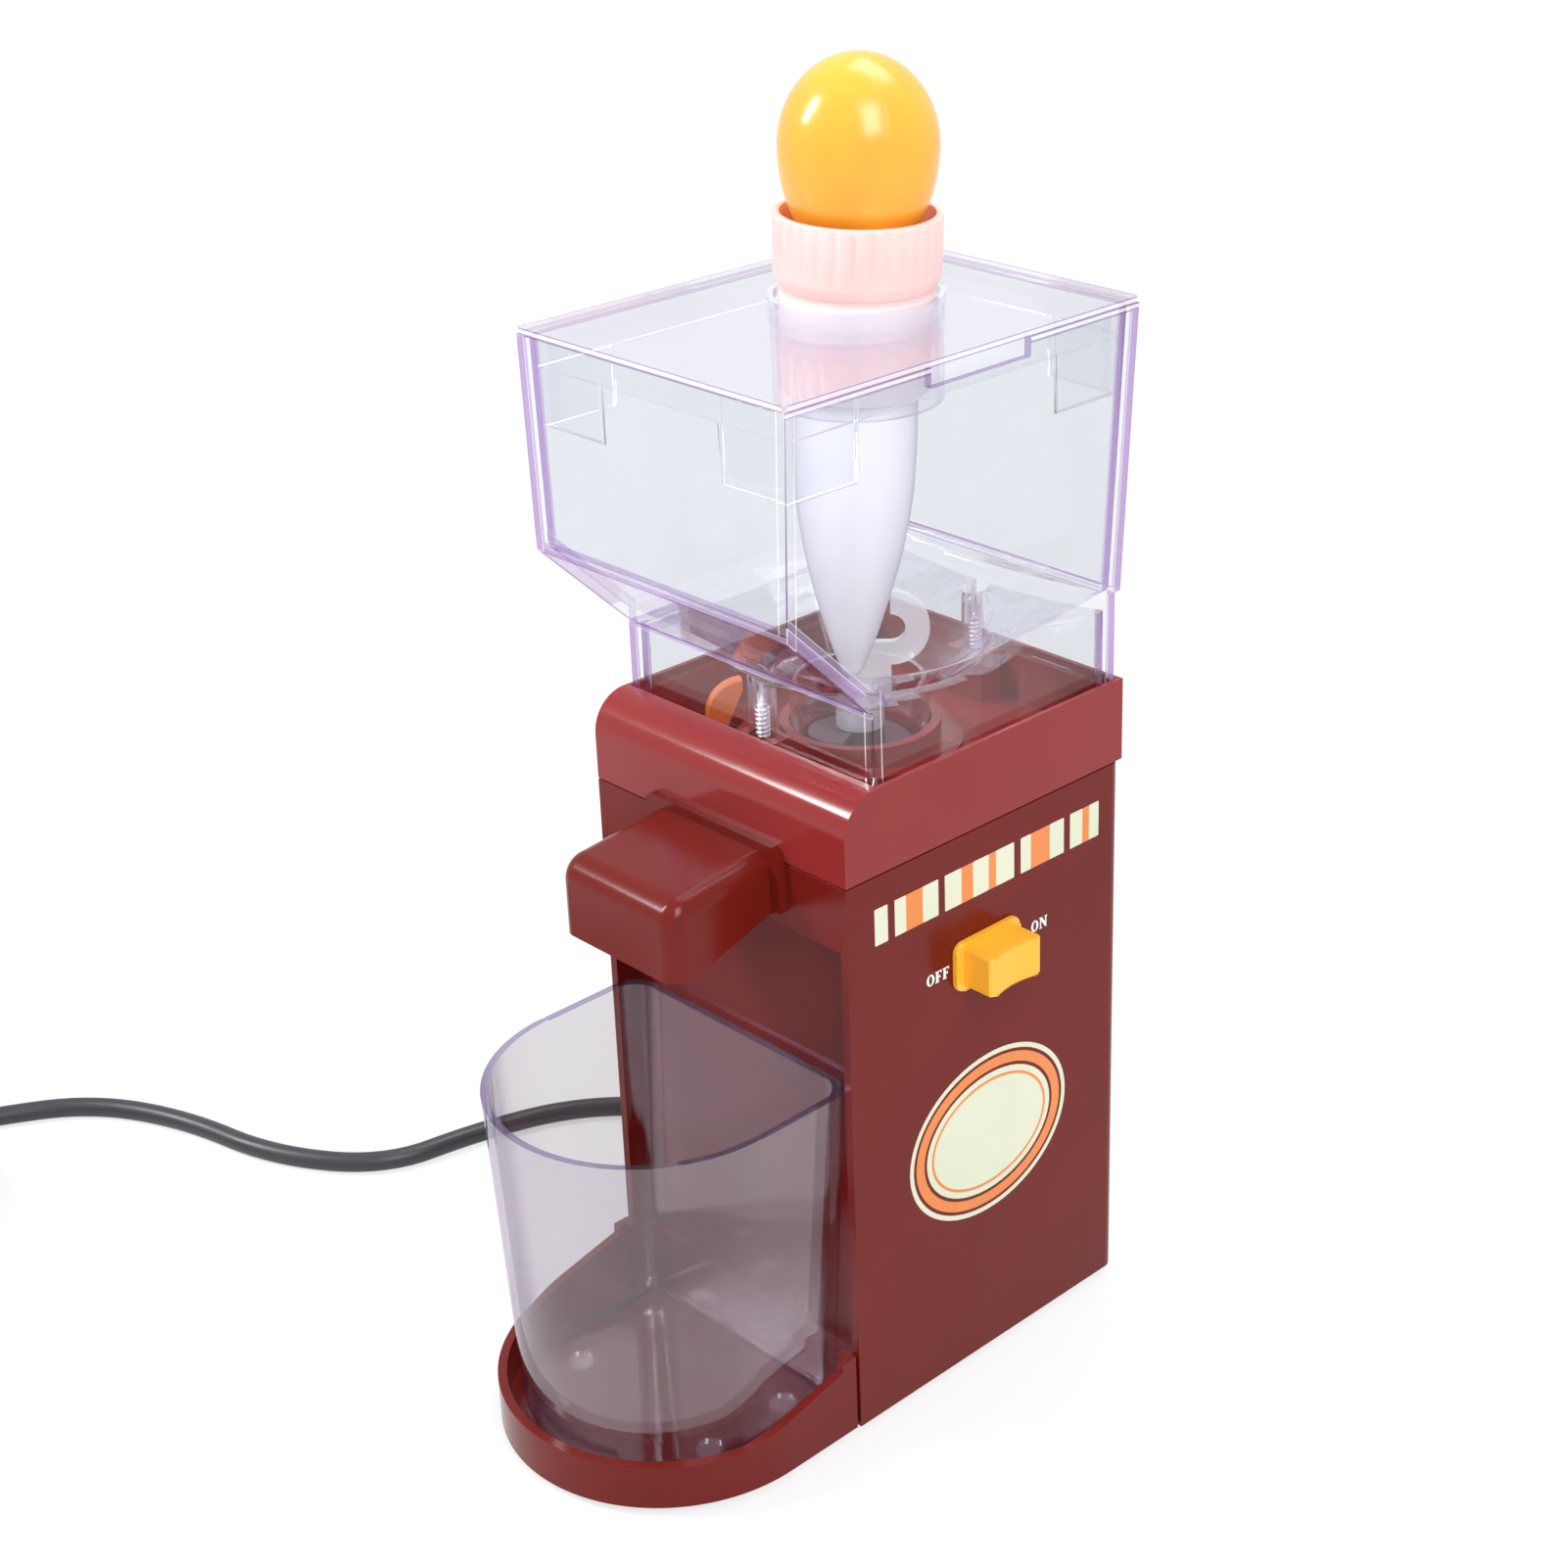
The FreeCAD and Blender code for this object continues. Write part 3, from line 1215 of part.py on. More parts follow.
def adjust_ring():
    # The ring seats the fixed burr; its arm carries a fin, the lever, up through the cover's slot.
    ring = turned("ring_band", [[
        ("ring_bore", "ring_low + burr_seat"), ("burr_radius + fit_gap", "ring_low + burr_seat"),
        ("burr_radius + fit_gap", "ring_low"), ("ring_radius", "ring_low"), ("ring_radius", "ring_top"),
        ("ring_bore", "ring_top")]], "0", "throat_place")
    low = "ring_top - lever_arm_height"
    arm = box("lever_arm", ("ring_radius - 3", "lever_reach"),
              ("0 - lever_arm_width / 2", "lever_arm_width / 2"),
              (low, "ring_top"))
    fin = [
        ("lever_neck_radius", low), ("lever_reach", low),
        ("lever_reach", "lever_top - lever_curve", "lever_tip_radius", "lever_top - lever_curve", 1),
        ("lever_tip_radius", "lever_top"), ("lever_tip_radius", "lever_top - lever_lip"),
        ("lever_neck_radius", "lever_top - lever_neck_drop")]
    blade = lengthways("lever_fin", [fin], "0 - lever_thickness / 2", "lever_thickness / 2")
    lever = join("lever_sum", arm, blade)
    lever.Placement = FreeCAD.Placement(FreeCAD.Vector(), FreeCAD.Rotation(FreeCAD.Vector(0, 0, 1), 1))
    bind(lever, "Placement.Rotation.Angle", "lever_angle")
    bind(lever, "Placement.Base.y", "throat_place")
    node("adjust_ring", join("ring_sum", ring, lever))


def fixed_burr():
    shape = [
        ("burr_bore", "burr_top"), ("burr_radius", "burr_top"), ("burr_radius", "burr_low"),
        ("burr_radius - 0.6", "burr_low"), ("burr_bore", "rotor_top + burr_gap")]
    node("fixed_burr", turned("burr_ring", [shape], "0", "throat_place"))


def rotor_burr():
    bore = "shaft_radius"
    rim = "burr_radius - 1"
    owner = turned("rotor_disc", [[
        (bore, "rotor_low"), (rim, "rotor_low"), (rim, "rotor_low + rotor_rim"),
        ("rotor_top_radius", "rotor_top"), (bore, "rotor_top")]], "0", "throat_place")
    groove = pocket(owner, sketch(owner, "XY", [[
        ("rotor_top_radius - 2", "0 - groove_width / 2"), ("burr_radius + 1", "0 - groove_width / 2"),
        ("burr_radius + 1", "groove_width / 2"), ("rotor_top_radius - 2", "groove_width / 2")]],
        "rotor_low + rotor_rim - 0.5"), "rotor_height + 1", back=True)
    pattern(owner, groove, "groove_count")
    node("rotor_burr", owner)


def feed_screw():
    low = "screw_low"
    core = turned("screw_core", [[
        ("shaft_radius", low), ("screw_core_radius", low), ("screw_core_radius", "hub_low"),
        ("shaft_radius", "hub_low")]], "0", "throat_place")
    flight = doc.addObject("Part::Feature", "screw_flight")
    pitch, height = value("feed_pitch"), value("hub_low - screw_low - flight_thickness")
    inner, outer = value("screw_core_radius - 0.5"), value("feed_radius")
    helix = Part.makeHelix(pitch, height, inner)
    start = value("screw_low")
    thick = value("flight_thickness")
    corners = [(inner, 0), (outer, 0), (outer, thick), (inner, thick), (inner, 0)]
    profile = Part.makePolygon([FreeCAD.Vector(radius, 0, rise) for radius, rise in corners])
    flight.Shape = Part.Wire(helix).makePipeShell([profile], True, True)
    place(flight, "0", "throat_place", str(start))
    bind(flight, "Placement.Base.z", low)
    node("feed_screw", join("screw_sum", core, flight))


def agitator():
    # A hub on the shaft with a half-ring hook that stands up beside the dropper's tip.
    hub = turned("agitator_hub", [[
        ("0", "shaft_top"), ("shaft_radius", "shaft_top"), ("shaft_radius", "hub_low"),
        ("hub_radius", "hub_low"),
        ("hub_radius", "hub_high - 2"), ("hub_radius - 2", "hub_high"), ("0", "hub_high")]])
    far = "hook_offset + hook_thickness"
    arm = box("agitator_arm", ("0 - hook_arm_width / 2", "hook_arm_width / 2"), ("hub_radius - 2", far),
              ("hub_high - 5", "hub_high - 1"))
    stalk = box("agitator_stalk", ("0 - hook_arm_width / 2", "hook_centre"), ("hook_offset", far),
                ("hub_high - 5", "hook_height - hook_inner"))
    hook = lengthways("agitator_hook", [[
        ("hook_centre", "hook_height - hook_outer", "hook_centre", "hook_height", 1),
        ("hook_centre", "hook_height + hook_outer"), ("hook_centre", "hook_height + hook_inner",
                                                      "hook_centre", "hook_height", -1),
        ("hook_centre", "hook_height - hook_inner")]], "hook_offset", far)
    whole = join("agitator_sum", hub, arm, stalk, hook)
    place(whole, "0", "throat_place", "0", ((0, 0, 1), "45"))
    node("agitator", whole)


def main_shaft():
    node("main_shaft", rod("shaft_rod", "shaft_radius", "lower_deck_height + 0.5", "shaft_top",
                           ("0", "throat_place")))


def bushes():
    bore = "shaft_radius + bush_gap"
    upper = turned("upper_bush", [[
        (bore, "deck_low - bush_flange"), ("bush_flange_radius", "deck_low - bush_flange"),
        ("bush_flange_radius", "deck_low"), ("bush_radius", "deck_low"), ("bush_radius", "chamber_floor_top"),
        (bore, "chamber_floor_top")]], "0", "throat_place")
    lower = turned("lower_bush", [[
        (bore, "lower_deck_height"), ("bush_radius - 1.5", "lower_deck_height"),
        ("bush_radius - 1.5", "lower_deck_top + bush_flange"), (bore, "lower_deck_top + bush_flange")]],
        "0", "throat_place")
    node("shaft_bushes", group("bush_set", upper, lower))


# ---- Decks and gear train ----
def deck_spots():
    for side in ("0 - ", ""):
        for spot in ("deck_post_front", "deck_post_back"):
            yield f"{side}deck_post_x", spot


def chamber_deck():
    plate = box("deck_plate", ("0 - inner_half + deck_gap", "inner_half - deck_gap"),
                ("nook_depth + shell_wall + deck_gap", "back_inside - deck_gap - 1"),
                ("deck_low", "chamber_base"))
    taken = [rod("deck_bore", "bush_radius + bush_gap", "deck_low - 1", "chamber_base + 1",
                 ("0", "throat_place")),
             rod("deck_pin_bore", "idler_pin_radius", "deck_low - 1", "deck_low + 2",
                 ("0 - idler_aside", "idler_place"))]
    for number, spot in enumerate(deck_spots()):
        taken.append(rod(f"deck_hole_{number}", "screw_radius + screw_clearance", "deck_low - 1",
                         "chamber_base + 1", spot))
    node("chamber_deck", cut("deck_cut", plate, *taken))


def lower_deck():
    plate = box("lower_plate", ("0 - inner_half + deck_gap", "inner_half - deck_gap"),
                ("nook_depth + shell_wall + deck_gap", "back_inside - deck_gap - 1"),
                ("lower_deck_height", "lower_deck_top"))
    taken = [rod("lower_bore", "bush_radius - 1.5 + bush_gap", "lower_deck_height - 1", "lower_deck_top + 1",
                 ("0", "throat_place")),
             rod("motor_hole", "motor_shaft_radius + 1", "lower_deck_height - 1", "lower_deck_top + 1",
                 ("0", "motor_place")),
             rod("pin_bore", "idler_pin_radius", "lower_deck_height - 1", "lower_deck_top + 1",
                 ("0 - idler_aside", "idler_place"))]
    node("lower_deck", cut("lower_deck_cut", plate, *taken))


def deck_posts():
    made = []
    for number, spot in enumerate(deck_spots()):
        post = rod(f"deck_post_{number}", "deck_post_radius", "lower_deck_top", "deck_low", spot)
        bore = rod(f"deck_post_bore_{number}", "screw_radius + screw_clearance", "deck_low - screw_length",
                   "deck_low + 1", spot)
        made.append(cut(f"deck_post_cut_{number}", post, bore))
    node("deck_posts", group("deck_post_set", *made))


def deck_screws():
    made = []
    for number, spot in enumerate(deck_spots()):
        head = rod(f"deck_head_{number}", "screw_head_radius", "chamber_base",
                   "chamber_base + screw_head_height", spot)
        shank = rod(f"deck_shank_{number}", "screw_radius", "deck_low - screw_length + 2",
                    "chamber_base + 1", spot)
        made.append(join(f"deck_screw_{number}", head, shank))
    node("deck_screws", group("deck_screw_set", *made))


def toothed(name, module, teeth, low, high, bore, x, y, turn):
    # A spur gear: a disc of the root radius and one tooth, repeated round the axis.
    pitch = f"({module} * {teeth} / 2)"
    root = f"({pitch} - 1.25 * {module})"
    tip = f"({pitch} + 0.95 * {module})"
    owner = body(name)
    pad(owner, sketch(owner, "XY", [("circle", "0", "0", root), ("circle", "0", "0", bore)], low),
        f"({high}) - ({low})")
    base, crown = f"({module} * 1.02)", f"({module} * 0.27)"
    middle = f"({module} * 0.66)"
    tooth = [
        (f"{root} - 0.3 * {module}", f"0 - {base}"), (pitch, f"0 - {middle}"), (tip, f"0 - {crown}"),
        (tip, crown), (pitch, middle), (f"{root} - 0.3 * {module}", base)]
    profile = sketch(owner, "XY", [tooth], low)
    cog = pad(owner, profile, f"({high}) - ({low})")
    pattern(owner, cog, teeth)
    return place(owner, x, y, "0", ((0, 0, 1), turn))


def drive_gear():
    high = "drive_gear_low + drive_gear_height"
    gear = toothed("drive_wheel", "drive_module", "wheel_teeth", "drive_gear_low", high, "shaft_radius",
                   "0", "throat_place", "180 - atan(idler_ahead / idler_aside) / 1deg")
    node("drive_gear", gear)


def idler_gear():
    # A large wheel that meets the motor's pinion, and above it a small pinion that turns the drive gear.
    x, y = "0 - idler_aside", "idler_place"
    towards_motor = "atan((motor_place - idler_place) / idler_aside) / 1deg"
    wheel_high = "idler_gear_low + idler_gear_height"
    wheel = toothed("idler_wheel", "motor_module", "wheel_teeth", "idler_gear_low", wheel_high,
                    "idler_pin_radius + bush_gap", x, y, towards_motor)
    pinion_high = "drive_gear_low + drive_gear_height + pinion_overhang"
    pinion = toothed("idler_pinion", "drive_module", "pinion_teeth", f"{wheel_high} - 1", pinion_high,
                     "idler_pin_radius + bush_gap", x, y,
                     "180 / pinion_teeth - atan(idler_ahead / idler_aside) / 1deg")
    node("idler_gear", join("idler_sum", wheel, pinion))


def idler_pin():
    spot = ("0 - idler_aside", "idler_place")
    pin = rod("pin_rod", "idler_pin_radius", "lower_deck_height", "deck_low + 2", spot)
    node("idler_pin", pin)


def idler_washers():
    bore = "idler_pin_radius + bush_gap"
    x, y = "0 - idler_aside", "idler_place"
    lower = turned("washer_low", [[
        (bore, "lower_deck_top"), ("idler_hub_radius", "lower_deck_top"),
        ("idler_hub_radius", "idler_gear_low - fit_gap / 2"), (bore, "idler_gear_low - fit_gap / 2")]], x, y)
    top = "drive_gear_low + drive_gear_height + pinion_overhang + fit_gap / 2"
    upper = turned("washer_high", [[
        (bore, top), ("idler_hub_radius", top), ("idler_hub_radius", "deck_low"), (bore, "deck_low")]], x, y)
    node("idler_washers", group("washer_set", lower, upper))


def shaft_spacer():
    # Keeps the drive gear and the shaft at their height on the lower bush.
    bore = "shaft_radius"
    low = "lower_deck_top + bush_flange + fit_gap / 2"
    node("shaft_spacer", turned("spacer_tube", [[
        (bore, low), ("bush_radius - 2", low), ("bush_radius - 2", "drive_gear_low"),
        (bore, "drive_gear_low")]],
        "0", "throat_place"))


def motor_pinion():
    towards_idler = "180 - atan((idler_place - motor_place) / idler_aside) / 1deg + 180 / pinion_teeth"
    low = "idler_gear_low - 2"
    node("motor_pinion", toothed("pinion_wheel", "motor_module", "pinion_teeth", low,
                                 f"{low} + motor_pinion_height", "motor_shaft_radius", "0", "motor_place",
                                 towards_idler))


# ---- Motor ----
def motor_can():
    inner = "motor_radius - motor_wall"
    hole = "motor_shaft_radius + bush_gap"
    node("motor_can", turned("can_tube", [[
        (inner, "motor_low"), ("motor_radius", "motor_low"), ("motor_radius", "lower_deck_height"),
        (hole, "lower_deck_height"), (hole, "lower_deck_height - motor_wall"),
        (inner, "lower_deck_height - motor_wall")]], "0", "motor_place"))


def motor_end_cap():
    hole = "motor_shaft_radius + bush_gap"
    inner = "motor_radius - motor_wall - fit_gap / 4"
    node("motor_end_cap", turned("end_cap", [[
        (hole, "motor_low - end_cap_height"), ("end_cap_radius", "motor_low - end_cap_height"),
        ("motor_radius", "motor_low - 2"), ("motor_radius", "motor_low"), (inner, "motor_low"),
        (inner, "motor_low + 3"), (f"{inner} - 2", "motor_low + 3"), (f"{inner} - 2", "motor_low"),
        ("end_cap_radius - 4", "motor_low - end_cap_height + 2"), (hole, "motor_low - end_cap_height + 2")]],
        "0", "motor_place"))


def motor_magnets():
    outer = "motor_radius - motor_wall"
    inner = f"{outer} - magnet_thickness"
    ring = turned("magnet_ring", [[
        (inner, "armature_low"), (outer, "armature_low"), (outer, "armature_low + armature_height"),
        (inner, "armature_low + armature_height")]], "0", "motor_place")
    split = box("magnet_split", ("0 - motor_radius", "motor_radius"), ("motor_place - 4", "motor_place + 4"),
                ("armature_low - 1", "armature_low + armature_height + 1"))
    node("motor_magnets", cut("magnet_pair", ring, split))


def motor_armature():
    core = turned("armature_core", [[
        ("motor_shaft_radius", "armature_low"),
        ("motor_radius - motor_wall - magnet_thickness - magnet_gap", "armature_low"),
        ("motor_radius - motor_wall - magnet_thickness - magnet_gap", "armature_low + armature_height"),
        ("motor_shaft_radius", "armature_low + armature_height")]], "0", "motor_place")
    tube = turned("commutator", [[
        ("motor_shaft_radius", "armature_low - commutator_height"),
        ("commutator_radius", "armature_low - commutator_height"), ("commutator_radius", "armature_low"),
        ("motor_shaft_radius", "armature_low")]], "0", "motor_place")
    node("motor_armature", join("armature_sum", core, tube))


def motor_shaft():
    node("motor_shaft", rod("motor_rod", "motor_shaft_radius", "motor_shaft_low",
                            "idler_gear_low - 2 + motor_pinion_height + 1", ("0", "motor_place")))


def cooling_fan():
    owner = body("fan_wheel")
    low = "motor_shaft_low + 1"
    pad(owner, sketch(owner, "XY", [("circle", "0", "0", "fan_hub_radius"),
                                    ("circle", "0", "0", "motor_shaft_radius")], low), "fan_height")
    blade = pad(owner, sketch(owner, "XY", [[
        ("fan_hub_radius - 0.7", "0 - 0.6"), ("fan_radius", "0 - 0.6"), ("fan_radius", "0.6"),
        ("fan_hub_radius - 0.7", "0.6")]], low), "fan_height")
    pattern(owner, blade, "fan_blades")
    node("cooling_fan", place(owner, "0", "motor_place"))


def circuit_board():
    low = "board_height"
    board = box("board_sheet", ("0 - board_length / 2", "board_length / 2"),
                ("board_place - board_width / 2", "board_place + board_width / 2"),
                (low, f"{low} + board_thickness"))
    top = f"{low} + board_thickness"
    added = [rod("capacitor", "4", top, f"{top} + 9", ("0 - 9", "board_place")),
             box("rectifier", ("2", "9"), ("board_place - 2", "board_place + 2"), (top, f"{top} + 7"))]
    for number in range(2):
        added.append(box(f"board_lug_{number}", (f"12 + {number} * 3 - 1", f"12 + {number} * 3"),
                         ("board_place - 2", "board_place + 2"), (top, f"{top} + 5")))
    node("circuit_board", join("board_sum", board, *added))


# ---- Cord ----
def run_and_arcs(points):
    # Straight runs joined by tangent arcs, each as large as its two runs allow.
    edges = []
    start = points[0]
    for before, corner, after in zip(points, points[1:], points[2:]):
        back, ahead = before - corner, after - corner
        shorter = min(back.Length, ahead.Length)
        half_turn = (math.pi - back.getAngle(ahead)) / 2
        radius = 0.45 * shorter / math.tan(half_turn)
        print(f"cord turn {math.degrees(2 * half_turn):5.1f} degrees, radius {radius:6.1f}")
        reach = 0.45 * shorter
        first = corner + back.normalize() * reach
        last = corner + ahead.normalize() * reach
        inward = (back + ahead).normalize()
        middle = corner + inward * (radius / math.cos(half_turn) - radius)
        edges.append(Part.LineSegment(start, first).toShape())
        edges.append(Part.Arc(first, middle, last).toShape())
        start = last
    edges.append(Part.LineSegment(start, points[-1]).toShape())
    return Part.Wire(edges)


cord_route = [
    (-22, 129.6, 20), (-22, 146, 20), (-25, 164, 13.5), (-33, 179, 6.8), (-48, 191, 3.4), (-70, 196, 3.1),
    (-92, 187, 3.1), (-106, 167, 3.1), (-110, 138, 3.1), (-104, 107, 3.1), (-109, 70, 3.1), (-133, 47, 3.1),
    (-144, 16, 3.1), (-149, -15, 3.1), (-180, -36, 3.1), (-218, -43, 3.1), (-249, -59, 3.1), (-266, -86, 3.1),
    (-275, -108, 3.1), (-281, -131, 3.1)]


def cord():
    shift = FreeCAD.Vector(value("middle_x"), value("middle_y"), 0)
    points = [FreeCAD.Vector(*point) - shift for point in cord_route]
    wire = run_and_arcs(points)
    radius = value("cord_radius")
    circle_edge = Part.makeCircle(radius, points[0], points[1] - points[0])
    tube = wire.makePipeShell([Part.Wire([circle_edge])], True, False)
    expected = math.pi * radius ** 2 * wire.Length
    print(f"cord length {wire.Length:.1f}, volume {tube.Volume:.0f}, section by length {expected:.0f}")
    item = doc.addObject("Part::Feature", "cord_tube")
    item.Shape = tube
    item.Label = "cord"
    nodes["cord"] = item


def cord_coil():
    x, y = "0 - coil_side", "0 - coil_front"
    outer, inner = "coil_radius + cord_radius * 2", "coil_radius - cord_radius * 2"
    node("cord_coil", turned("coil_ring", [rounded((f"({inner})", f"({outer})"), ("0", "coil_height"),
                                                   "cord_radius")], x, y))


def strain_relief():
    x, z = "0 - cord_exit_side", "cord_exit_height"
    sleeve = taper("relief_sleeve", "relief_root_radius", "relief_tip_radius", "tower_depth", "relief_end",
                   (x, z), "y")
    through = rod("relief_neck", "relief_root_radius - 1", "back_inside - 4", "tower_depth + 1", (x, z), "y")
    outer = rod("relief_outer_collar", "relief_collar_radius", "tower_depth", "tower_depth + relief_collar",
                (x, z), "y")
    inner = rod("relief_inner_collar", "relief_collar_radius", "back_inside - relief_collar", "back_inside",
                (x, z), "y")
    node("strain_relief", join("relief_sum", sleeve, through, outer, inner))


def cord_tail():
    # The last turn leaves the coil along a tangent and runs straight into the plug.
    node("cord_tail", rod("tail_tube", "cord_radius", "0 - coil_side", "tail_end",
                          ("tail_side", "plug_middle"),
                          "x"))


def plug():
    # The plug lies flat in front of the coil.
    owner = body("plug_block")
    plan = [
        ("0 - plug_width / 2", "0"), ("plug_width / 2", "0"), ("plug_width / 2", "plug_length * 0.4"),
        ("cord_radius + 1.5", "plug_length"), ("0 - cord_radius - 1.5", "plug_length"),
        ("0 - plug_width / 2", "plug_length * 0.4")]
    block = pad(owner, sketch(owner, "XY", [plan]), "plug_thickness")
    ease(owner, block, "2", is_upright)
    place(owner, "plug_face", "tail_side", "0", ((0, 0, 1), "90"))
    node("plug_body", owner)
    pins = []
    for name, sign in (("left", "-"), ("right", "+")):
        pins.append(rod(f"plug_pin_{name}", "plug_pin_radius", "plug_face", "plug_face + plug_pin_length",
                        (f"tail_side {sign} plug_pin_pitch / 2", "plug_middle"), "x"))
    node("plug_pins", group("plug_pin_set", *pins))


def check(item):
    if "Invalid" in item.State or "Error" in item.State:
        raise RuntimeError(f"{item.Name} ({item.Label}) failed: {item.State}")


pieces = [
    tower_shell, front_panel, top_cover, base_plate, base_screws, feet, cup_tray, cup, spout, spout_screws,
    switch_slider, switch_body, hopper, hopper_screws, hopper_lid, dropper_collar, dropper_body, dropper_bulb,
    grinding_chamber, adjust_ring, fixed_burr, rotor_burr, feed_screw, agitator, main_shaft, bushes,
    chamber_deck, lower_deck, deck_posts, deck_screws, drive_gear, idler_gear, idler_pin, idler_washers,
    shaft_spacer, motor_pinion, motor_can, motor_end_cap, motor_magnets, motor_armature, motor_shaft,
    cooling_fan, circuit_board, cord, cord_coil, cord_tail, strain_relief, plug]
for piece in pieces:
    piece()
doc.recompute()
for item in doc.Objects:
    check(item)
os.makedirs("parts", exist_ok=True)
for label, item in nodes.items():
    shape = item.Shape
    if shape.isNull() or not shape.isValid():
        raise RuntimeError(f"{label} has no valid shape")
    shape.exportStep(f"parts/{label}.step")
print(f"{len(nodes)} nodes written")
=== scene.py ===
import bpy
import bmesh
import math
from mathutils import Matrix, Vector


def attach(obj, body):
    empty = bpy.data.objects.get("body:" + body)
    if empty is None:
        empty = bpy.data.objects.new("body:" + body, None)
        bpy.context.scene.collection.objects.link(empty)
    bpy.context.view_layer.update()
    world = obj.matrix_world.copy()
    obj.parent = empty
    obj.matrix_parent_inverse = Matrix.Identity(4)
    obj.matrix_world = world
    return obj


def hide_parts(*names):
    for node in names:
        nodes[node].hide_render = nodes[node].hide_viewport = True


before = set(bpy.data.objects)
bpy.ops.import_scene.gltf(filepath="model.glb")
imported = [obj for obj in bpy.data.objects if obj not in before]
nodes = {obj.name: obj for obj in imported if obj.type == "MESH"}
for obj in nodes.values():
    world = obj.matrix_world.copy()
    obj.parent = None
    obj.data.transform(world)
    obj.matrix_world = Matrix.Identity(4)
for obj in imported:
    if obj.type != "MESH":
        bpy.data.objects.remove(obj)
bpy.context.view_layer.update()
scene = bpy.context.scene

# Places are written in millimetres from the tower: x = 0 is its middle, y = 0 its front, z = 0 the floor.
towerShift = Vector((-5.425, -17.35, 0))


def spot(x, y, z):
    return (Vector((x, y, z)) + towerShift) / 1000


cameraValues = {
    "eye": (480.3, -408.6, 479.0),
    "yaw": 45.10,
    "pitch": 23.46,
    "roll": -1.06,
    "focal": 2798.3,
    "centre": (926.6, 693.8),
    "picture": 1601,
}


def makeCamera(v):
    yaw, pitch, roll = (math.radians(v[key]) for key in ("yaw", "pitch", "roll"))
    ahead = Vector((-math.sin(yaw) * math.cos(pitch), math.cos(yaw) * math.cos(pitch), -math.sin(pitch)))
    right = Vector((math.cos(yaw), math.sin(yaw), 0))
    up = right.cross(ahead)
    across = math.cos(roll) * right + math.sin(roll) * up
    above = -math.sin(roll) * right + math.cos(roll) * up
    data = bpy.data.cameras.new("camera")
    data.sensor_width = 36
    data.lens = v["focal"] / v["picture"] * 36
    data.shift_x = (v["picture"] / 2 - v["centre"][0]) / v["picture"]
    data.shift_y = (v["centre"][1] - v["picture"] / 2) / v["picture"]
    data.clip_start = 0.01
    camera = bpy.data.objects.new("camera", data)
    scene.collection.objects.link(camera)
    turn = Matrix((across, above, -ahead)).transposed()
    camera.matrix_world = Matrix.Translation(spot(*v["eye"])) @ turn.to_4x4()
    scene.camera = camera


makeCamera(cameraValues)
scene.view_settings.view_transform = "Standard"
scene.cycles.max_bounces = 14
scene.cycles.transmission_bounces = 12
scene.cycles.transparent_max_bounces = 96
print("camera done")


def tone(red, green, blue, alpha=1.0):
    # 0 to 255 screen values as the linear colour that a node takes
    def linear(value):
        value = value / 255
        return value / 12.92 if value <= 0.04045 else ((value + 0.055) / 1.055) ** 2.4
    return (linear(red), linear(green), linear(blue), alpha)


class Surface:
    def __init__(self, name, **numbers):
        self.material = bpy.data.materials.new(name)
        self.material.use_nodes = True
        self.tree = self.material.node_tree
        self.shader = self.tree.nodes["Principled BSDF"]
        self.output = self.tree.nodes["Material Output"]
        for socket, number in numbers.items():
            self.shader.inputs[socket.replace("_", " ")].default_value = number

    def add(self, kind, **settings):
        item = self.tree.nodes.new("ShaderNode" + kind)
        for key, number in settings.items():
            socket = item.inputs.get(key.replace("_", " "))
            if socket is not None:
                socket.default_value = number
            else:
                setattr(item, key, number)
        return item

    def link(self, source, target):
        self.tree.links.new(source, target)

    def ramp(self, source, start, first, end, last):
        # one colour up to the start, the other from the end
        item = self.add("ValToRGB")
        low, high = item.color_ramp.elements
        low.position, low.color = start, first
        high.position, high.color = end, last
        self.link(source, item.inputs["Fac"])
        return item.outputs["Color"]

    def mix(self, share, first, second):
        item = self.add("MixShader")
        for source, target in zip((share, first.outputs[0], second.outputs[0]), item.inputs):
            self.link(source, target)
        return item


def moulded(name, light, dark, rough=(0.22, 0.32), grain=0.06, grainScale=900.0, **numbers):
    # Moulded plastic: slow changes of tone and gloss, and a fine grain
    made = Surface(name, **numbers)
    place = made.add("TexCoord").outputs["Object"]
    cloud = made.add("TexNoise", Scale=22.0, Detail=3.0, Roughness=0.55)
    smear = made.add("TexNoise", Scale=55.0, Detail=4.0, Roughness=0.6)
    fine = made.add("TexNoise", Scale=grainScale, Detail=2.0)
    for noise in (cloud, smear, fine):
        made.link(place, noise.inputs["Vector"])
    made.link(made.ramp(cloud.outputs["Fac"], 0.3, dark, 0.72, light), made.shader.inputs["Base Color"])
    gloss = made.add("MapRange", From_Min=0.3, From_Max=0.7, To_Min=rough[0], To_Max=rough[1])
    made.link(smear.outputs["Fac"], gloss.inputs["Value"])
    made.link(gloss.outputs["Result"], made.shader.inputs["Roughness"])
    bump = made.add("Bump", Strength=grain, Distance=0.0002)
    made.link(fine.outputs["Fac"], bump.inputs["Height"])
    made.link(bump.outputs["Normal"], made.shader.inputs["Normal"])
    return made


